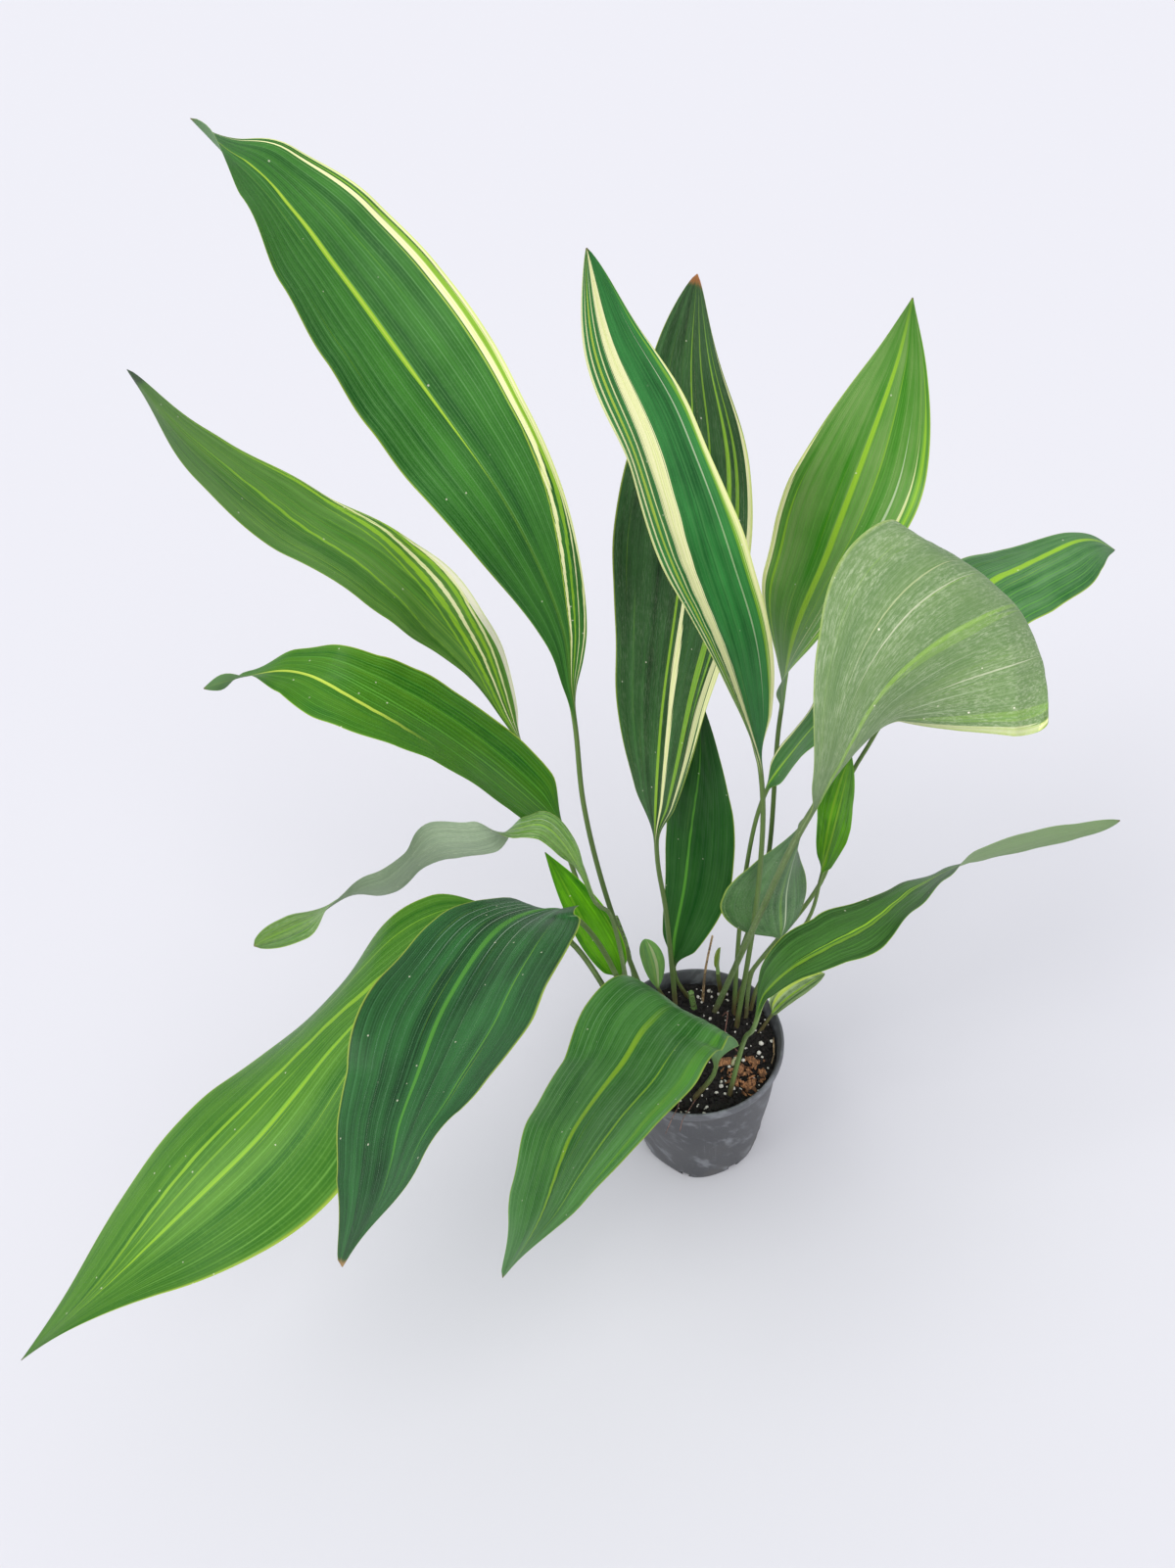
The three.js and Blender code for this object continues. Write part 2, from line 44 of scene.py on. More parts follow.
print("frame loaded:", len(nodes), "nodes")


def colour(code):
    # "rrggbb" as on a screen, turned into the linear colour that a shader takes
    parts = [int(code[i:i + 2], 16) / 255 for i in (0, 2, 4)]
    return tuple(c / 12.92 if c < 0.04045 else ((c + 0.055) / 1.055) ** 2.4 for c in parts) + (1.0,)


class Wire:
    # One output socket. Arithmetic on it adds Math nodes.
    def __init__(self, shader, socket):
        self.shader, self.socket = shader, socket

    def maths(self, operation, *values):
        return self.shader.node("Math", {"operation": operation}, dict(enumerate(values)))

    def __add__(self, other):
        return self.maths("ADD", self, other)

    def __radd__(self, other):
        return self.maths("ADD", other, self)

    def __sub__(self, other):
        return self.maths("SUBTRACT", self, other)

    def __rsub__(self, other):
        return self.maths("SUBTRACT", other, self)

    def __mul__(self, other):
        return self.maths("MULTIPLY", self, other)

    def __rmul__(self, other):
        return self.maths("MULTIPLY", other, self)

    def __truediv__(self, other):
        return self.maths("DIVIDE", self, other)

    def __abs__(self):
        return self.maths("ABSOLUTE", self)

    def sine(self):
        return self.maths("SINE", self)

    def atMost(self, other):
        return self.maths("MINIMUM", self, other)

    def atLeast(self, other):
        return self.maths("MAXIMUM", self, other)

    def ramp(self, low, high):
        # 0 below low, 1 above high, smooth between; it falls where low is the larger
        settings = {"interpolation_type": "SMOOTHSTEP"}
        return self.shader.node("MapRange", settings, {"Value": self, "From Min": low, "From Max": high})

    def output(self, name):
        return Wire(self.shader, self.socket.node.outputs[name])


class Shader:
    # A material whose nodes are added one call at a time.
    def __init__(self, name):
        self.material = bpy.data.materials.new(name)
        self.material.use_nodes = True
        self.tree = self.material.node_tree
        self.tree.nodes.clear()

    def node(self, kind, settings=None, sockets=None, output=0):
        made = self.tree.nodes.new("ShaderNode" + kind)
        for key, value in (settings or {}).items():
            setattr(made, key, value)
        for key, value in (sockets or {}).items():
            if isinstance(value, Wire):
                self.tree.links.new(value.socket, made.inputs[key])
            else:
                made.inputs[key].default_value = colour(value) if isinstance(value, str) else value
        return Wire(self, made.outputs[output]) if made.outputs else made

    def place(self):
        return self.node("TexCoord", None, None, "Object")

    def mix(self, amount, first, second):
        return self.node("Mix", {"data_type": "RGBA"}, {0: amount, 6: first, 7: second}, 2)

    def vector(self, x, y, z):
        return self.node("CombineXYZ", None, {0: x, 1: y, 2: z})

    def noise(self, place, scale=1.0, detail=2.0, roughness=0.5):
        sockets = {"Vector": place, "Scale": scale, "Detail": detail, "Roughness": roughness}
        return self.node("TexNoise", None, sockets)

    def bump(self, height, distance, strength):
        return self.node("Bump", None, {"Height": height, "Distance": distance, "Strength": strength})

    def finish(self, base, rough, sockets, through=None, share=0.0):
        shell = self.node("BsdfPrincipled", None, {"Base Color": base, "Roughness": rough, **sockets})
        if through:
            passing = self.node("BsdfTranslucent", None, {"Color": through})
            shell = self.node("MixShader", None, {0: share, 1: shell, 2: passing})
        self.node("OutputMaterial", None, {"Surface": shell})
        return self.material


def newObject(name, mesh, material, replaced=()):
    piece = bpy.data.objects.new(name, mesh)
    bpy.context.scene.collection.objects.link(piece)
    piece.data.materials.append(material)
    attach(piece, "root")
    if replaced:
        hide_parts(*replaced)
    return piece


def smoothMesh(name, points, faces, places=None, sizes=None):
    mesh = bpy.data.meshes.new(name)
    mesh.from_pydata(points, [], faces)
    layers = (("place", places, "FLOAT_VECTOR", "vector"), ("halfWidth", sizes, "FLOAT", "value"))
    for key, values, kind, field in layers:
        if values is not None:
            layer = mesh.attributes.new(key, kind, "POINT")
            layer.data.foreach_set(field, np.asarray(values, np.float32).ravel())
    mesh.shade_smooth()
    mesh.update()
    return mesh


def smooth(t):
    x = np.clip(t, 0, 1)
    return x * x * (3 - 2 * x)


def lerp(a, b, t):
    return a + (b - a) * t


def polar(radius, turn):
    return radius * math.cos(turn), radius * math.sin(turn)


leafBuild = dict(
    rootDepth=0.012,  # of the stalk in its hole
    curveSteps=24,  # between two points of the middle line
    edge=0.00013,  # half thickness at the blade's edge
    rib=0.00055,  # and at the rib, near the base
    ribWidth=0.0022,  # half width of the thick part around the rib
    groove=0.0005,  # the most that the rib's top sinks below the blade's middle
    tip=0.0004,  # half width of the very tip
    columns=41,  # points across the blade
    bladeStep=0.003,
    bladeRows=24,  # at least
    stalkStep=0.009,
    stalkRows=4,  # at least
    stalkTaper=0.2,  # share of its thickness lost on the way up
    opening=0.12,  # share of the blade's length over which the round stalk flattens into it
    creaseWidth=0.07,  # share of the half width over which the fold is rounded
    pleat=0.00022,  # height of the fine lengthwise pleats
    pleats=11,  # on each half
    flutter=0.004,  # height of the small waves of the edge, as a share of the blade's width
)


def along(values, u):
    # a value given at even steps from the blade's base to its tip, eased between them
    place = np.clip(u, 0, 1) * (len(values) - 1)
    i = np.minimum(place.astype(int), len(values) - 2)
    values = np.asarray(values, float)
    return lerp(values[i], values[i + 1], smooth(place - i))


def curveThrough(values, u):
    # a smooth curve near values given at even steps from the blade's base to its tip, kept off the edges
    steps, edge = np.linspace(0, 1, len(values)), 0.93
    return np.clip(np.polyval(np.polyfit(steps, values, 4), np.clip(u, 0, 1)), -edge, edge)


def bladeShare(u, peak, sharp):
    # the blade's half width as a share of its widest
    x = np.clip(u, 0, 1)
    return (x / peak) ** (sharp * peak) * ((1 - x) / (1 - peak)) ** (sharp * (1 - peak))


def splinePoints(control, t):
    # centripetal Catmull-Rom through the control points; t counts them
    padded = np.vstack([2 * control[0] - control[1], control, 2 * control[-1] - control[-2]])
    i = np.clip(t.astype(int), 0, len(control) - 2)
    w = (t - i)[:, None]
    p0, p1, p2, p3 = (padded[i + k] for k in range(4))
    d0, d1, d2 = (np.sqrt(np.linalg.norm(b - a, axis=1))[:, None] for a, b in ((p0, p1), (p1, p2), (p2, p3)))
    m1 = ((p1 - p0) / d0 - (p2 - p0) / (d0 + d1) + (p2 - p1) / d1) * d1
    m2 = ((p2 - p1) / d1 - (p3 - p1) / (d1 + d2) + (p3 - p2) / d2) * d1
    return p1 + m1 * w + (3 * (p2 - p1) - 2 * m1 - m2) * w**2 + (2 * (p1 - p2) + m1 + m2) * w**3


def leafSpine(leaf):
    # middle line of stalk and blade: control points, steps along them, length at each and at the blade's start
    foot = np.array([*leaf["root"], soilTop])
    points = np.array(leaf["spine"]) / 1000
    rise = (points[0] - foot) / np.linalg.norm(points[0] - foot)
    control = np.vstack([foot - rise * leafBuild["rootDepth"], foot, points])
    fine = leafBuild["curveSteps"]
    t = np.linspace(0, len(control) - 1, fine * (len(control) - 1) + 1)
    line = splinePoints(control, t)
    reach = np.r_[0, np.cumsum(np.linalg.norm(np.diff(line, axis=0), axis=1))]
    return control, t, reach, reach[fine * (leaf["bladeFrom"] + 1)]


def leafMesh(name, leaf):
    build = leafBuild
    control, t, reach, start = leafSpine(leaf)
    length = reach[-1]
    stalkRows = max(build["stalkRows"], int(start / build["stalkStep"]))
    bladeRows = max(build["bladeRows"], int((length - start) / build["bladeStep"]))
    s = np.r_[np.linspace(0, start, stalkRows, endpoint=False), np.linspace(start, length, bladeRows)]
    at = np.interp(s, reach, t)
    centre, nudge = splinePoints(control, at), 1e-3
    ahead, behind = np.minimum(at + nudge, t[-1]), np.maximum(at - nudge, 0)
    tangent = splinePoints(control, ahead) - splinePoints(control, behind)
    tangent /= np.linalg.norm(tangent, axis=1)[:, None]
    lean = math.radians(leaf["lean"])
    level = np.array([-math.sin(lean), math.cos(lean), 0])
    side = level - (tangent @ level)[:, None] * tangent
    side /= np.linalg.norm(side, axis=1)[:, None]
    up = np.cross(tangent, side)
    u = (s - start) / (length - start)
    roll = np.radians(along(leaf["roll"], u))[:, None]
    side, up = side * np.cos(roll) + up * np.sin(roll), up * np.cos(roll) - side * np.sin(roll)

    u = u[:, None]
    last = build["columns"] - 1
    column = np.arange(build["columns"])[None, :]
    x = np.sin(math.pi / 2 * (2 * column / last - 1))  # closer together near the edges
    angle = (1 - (column + 0.5) / (last + 1)) * math.pi  # the same column on the round stalk
    flat = smooth(u / build["opening"])
    stalk = leaf["stalk"] * (1 - build["stalkTaper"] * np.clip(s[:, None] / start, 0, 1))
    share = np.where(u > 0, bladeShare(u, leaf["peak"], leaf["sharp"]), 0)
    thin = lerp(stalk, build["tip"], smooth(u))
    half = thin + (leaf["width"] / 2 - thin) * share
    fold = np.radians(leaf["fold"]) * flat
    height, count, phase = leaf["waves"]
    middle = np.sin(math.pi * np.clip(u, 0, 1))
    middleVein = curveThrough(leaf["veins"], u) if "veins" in leaf else 0 * u
    vein = np.where(x < middleVein, (x - middleVein) / (1 + middleVein), (x - middleVein) / (1 - middleVein))

    # height above the middle line: fold, curl, long waves, two short waves of the edge, and pleats
    crease = build["creaseWidth"]
    bend = np.sqrt(x**2 + crease**2) - crease
    lift = half * bend * np.sin(fold) - leaf.get("curl", 0) * half * x**2 * share
    lift = lift + height * np.sin(2 * math.pi * count * u + phase + np.sign(x) * 0.9) * x**2 * middle
    flutter = np.sin(27 * u + 3 * phase + 2 * np.sign(x)) + 0.6 * np.sin(49 * u + 5 * np.sign(x))
    lift = lift + build["flutter"] * leaf["width"] * flutter * x**4 * middle * np.sign(x)
    away = np.abs(vein)
    ridges = np.cos(2 * math.pi * build["pleats"] * away) + 0.4 * np.cos(2 * math.pi * 4.3 * away + 1)
    lift = lift + build["pleat"] * ridges * (1 - x**4) * share
    across = lerp(thin * np.cos(angle), half * x * np.cos(fold), flat)

    # half thickness: the blade's skin, and on it the rib, which thins towards the tip
    ribHere = np.exp(-((vein * half / build["ribWidth"]) ** 2))
    body = build["edge"] * np.sqrt(np.maximum(1 - x**8, 0.04))
    ribHalf = lerp(stalk, build["rib"], smooth(u / 0.5)) * (1 - 0.75 * smooth((u - 0.5) / 0.5))
    swell = np.maximum(ribHalf - build["edge"], 0) * ribHere
    rows = []
    for face in (1, -1):
        ridge = -0.5 if face > 0 else 1.0  # the rib is a groove above and a ridge below
        bladeHalf = body + swell * lerp(1.0, ridge, smooth(u / 0.35))
        thick = lerp(thin * np.sin(angle), np.maximum(bladeHalf, -build["groove"]), flat)
        rows.append(
            centre[:, None, :] + side[:, None, :] * across[..., None]
            + up[:, None, :] * (face * thick + lift * flat)[..., None])
    points = np.stack(rows, 1).reshape(-1, 3)
    facing = np.array([1.0, -1.0])[None, :, None]
    shapeOf = (len(s), 2, build["columns"])
    places = np.stack([np.broadcast_to(v, shapeOf) for v in (u[:, None, :], vein[:, None, :], facing)], -1)
    sizes = np.broadcast_to(half[:, None, :], shapeOf)
    return smoothMesh(name, points, sleeveFaces(len(s), build["columns"]), places, sizes)


def sleeveFaces(rings, columns):
    # rings that each hold an upper row and then a lower row of points, closed at both ends
    faces = []
    for i in range(rings - 1):
        top, after = 2 * columns * i, 2 * columns * (i + 1)
        for j in range(columns - 1):
            faces.append((top + j, after + j, after + j + 1, top + j + 1))
            low, lowAfter = top + columns + j, after + columns + j
            faces.append((low, low + 1, lowAfter + 1, lowAfter))
        faces.append((top, top + columns, after + columns, after))
        faces.append((after + columns - 1, after + 2 * columns - 1, top + 2 * columns - 1, top + columns - 1))
    end = 2 * columns * (rings - 1)
    for j in range(columns - 1):
        faces.append((j, j + 1, columns + j + 1, columns + j))
        faces.append((end + columns + j, end + columns + j + 1, end + j + 1, end + j))
    return faces


tints = dict(cream="f6f4ba", ivory="f3eed6", lime="93c02f", yellow="c6da52", bright="5fa436", dark="1f5a26",
             white="d5e0bd", pale="9ab5a0")
# the second tint of the fine lines in a stripe
companions = dict(cream="yellow", ivory="cream", lime="bright", yellow="lime", bright="lime", dark="bright",
                  white="bright", pale="white")

leafFinish = dict(
    fineGap=0.0021,  # between two fine veins where the blade is widest
    mainGap=0.0062,
    veinDepth=0.00026,
    ribHalf=0.0011,  # half width of the yellow rib at the blade's base
    taper=0.14,  # share of the blade's length over which a stripe narrows to its end
    sheath=(0.034, 0.006),  # heights above the mix between which the reddish sheath fades
    roughness=0.4,
    lightThrough=0.07,  # share of the light that the thin blade lets through
)


def leafMaterial(name, leaf):
    shader = Shader(name)
    fineVeins, mainVeins = (math.pi * leaf["width"] / leafFinish[key] for key in ("fineGap", "mainGap"))
    seed = random.Random(name).uniform(0, 50)
    place = shader.node("Attribute", {"attribute_name": "place"}, None, "Vector")
    u = shader.node("SeparateXYZ", None, {0: place})
    x, face = u.output("Y"), u.output("Z")
    half = shader.node("Attribute", {"attribute_name": "halfWidth"}, None, "Fac")
    under = face.ramp(0.2, -0.2)
    blade = u.ramp(0.0, 0.06)
    drift = (shader.noise(shader.vector(u * 2.2, x * 1.5, seed)) - 0.5) * 0.05
    lane = x + drift

    def lengthwise(lengthScale, widthScale, shift, detail, roughness=0.5):
        # noise drawn out from base to tip, as veins run
        spot = shader.vector(u * lengthScale, lane * widthScale, seed + shift)
        return shader.noise(spot, 1.0, detail, roughness)

    wide = lengthwise(0.9, 5, 3, 2.0)
    streak = lengthwise(1.5, 15, 7, 3.0, 0.6)
    thread = lengthwise(1.3, 48, 11, 2.0, 0.6)
    fineVein = (lane * fineVeins).sine().ramp(0.1, 1.0)
    mainVein = ((lane + drift) * mainVeins + seed).sine().ramp(0.84, 1.0) * streak.ramp(0.34, 0.62)
    grain = lengthwise(170, 16, 13, 1.0)
    cloud = lengthwise(7, 2.5, 17, 3.0, 0.6)

    deep, fresh, pale = (leaf.get(key, tints["bright"]) for key in ("deep", "fresh", "pale"))
    lanes = ((wide - 0.5) * 1.5 + (streak - 0.5) * 0.9 + (cloud - 0.5) * 1.1 + 0.5).atMost(1).atLeast(0)
    skin = shader.mix(lanes, deep, fresh)
    skin = shader.mix(fineVein * 0.2 + grain.ramp(0.5, 0.75) * 0.09, skin, pale)
    skin = shader.mix(mainVein * (0.75 - u * 0.3), skin, pale)
    skin = shader.mix(thread.ramp(0.42, 0.3) * 0.3, skin, deep)
    threads = leaf.get("threads", 0.7)
    skin = shader.mix(thread.ramp(threads, threads + 0.05) * blade * 0.7, skin, tints["lime"])
    taper = leafFinish["taper"]
    for centre, size, first, final, tint, strength in leaf["bands"]:
        narrowing = u.ramp(first - taper, first + taper) * u.ramp(final + taper, final - taper)
        if isinstance(centre, tuple):
            low, high, reach = centre
            centre = u.ramp(0.0, reach) * (high - low) + low
        apart = abs(lane - centre) / (narrowing * size + 0.0005)
        mask = (apart + (thread - 0.5) * 1.7 + (streak - 0.5) * 0.8).ramp(1.12, 0.88)
        lined = shader.mix(thread.ramp(0.5, 0.64) * 0.55, tints[tint], tints[companions[tint]])
        skin = shader.mix(mask * strength, skin, lined)

    rib = abs(x * half) / ((1.25 - u) * (leafFinish["ribHalf"] * leaf.get("rib", 1.0)))
    ribStart, ribEnd = leaf.get("ribStart", -0.1), leaf.get("ribEnd", 1.0)
    ribReach = u.ramp(ribEnd, ribEnd - 0.3) * u.ramp(ribStart, ribStart + 0.2)
    ribMask = rib.ramp(1.5, 0.75) * blade * ribReach * leaf.get("ribStrength", 0.8)
    skin = shader.mix(ribMask, skin, tints[leaf.get("ribTint", "lime")])
    skin = shader.mix(abs(x).ramp(0.968, 0.995) * 0.5, skin, tints["yellow"])

    # the lower face is paler and greyer, with the stripes showing through
    skin = shader.mix(under * leaf.get("underPale", 0.5), skin, leaf.get("under", "86a67c"))
    mottle = shader.noise(shader.vector(u * 9, x * 2, seed), 2.0, 3.0)
    stalkTint = shader.mix(mottle, "56733a", "7c9456")
    spot = shader.place()
    height = shader.node("SeparateXYZ", None, {0: spot}).output("Z")
    sheathTop, sheathLow = (soilTop + rise for rise in leafFinish["sheath"])
    sheath = height.ramp(sheathTop, sheathLow) * streak.ramp(0.25, 0.6)
    stalkTint = shader.mix(sheath * 0.8, stalkTint, "6a4238")
    skin = shader.mix(blade, stalkTint, skin)

    brownFrom = leaf.get("brownFrom", 0.992)
    brown = (u + (streak - 0.5) * 0.02).ramp(brownFrom, brownFrom + 0.01)
    skin = shader.mix(brown, skin, leaf.get("brown", "7d6a3c"))
    speck = shader.node("TexVoronoi", None, {"Vector": spot, "Scale": 160.0})
    cell = shader.node("SeparateColor", None, {0: speck.output("Color")})
    dust = speck.ramp(0.13, 0.08) * cell.ramp(0.9, 0.93) * leaf.get("dust", 0.5)
    skin = shader.mix(dust, skin, tints["ivory"])
    # pale speckles: rime and dust on some leaves, and a painted sheen on the dark centre leaf
    if "frostAndSheen" in leaf:
        rimeAndSheen = lengthwise(75, 60, 23, 5.0, 0.75).ramp(0.42, 0.72)
        patch = lengthwise(8, 4, 29, 3.0, 0.6).ramp(0.2, 0.7)
        skin = shader.mix(rimeAndSheen * patch * leaf["frostAndSheen"], skin, tints["white"])

    relief = fineVein * 0.5 + mainVein * 0.5 + grain * 0.12 + thread * 0.35
    normal = shader.bump(relief, leafFinish["veinDepth"], 0.8)
    rough = leafFinish["roughness"] + under * 0.16 + (streak - 0.5) * 0.14 + dust * 0.3
    gloss = {"Normal": normal, "IOR": 1.45, "Specular IOR Level": 0.26}
    return shader.finish(skin, rough, gloss, tints["lime"], leafFinish["lightThrough"])


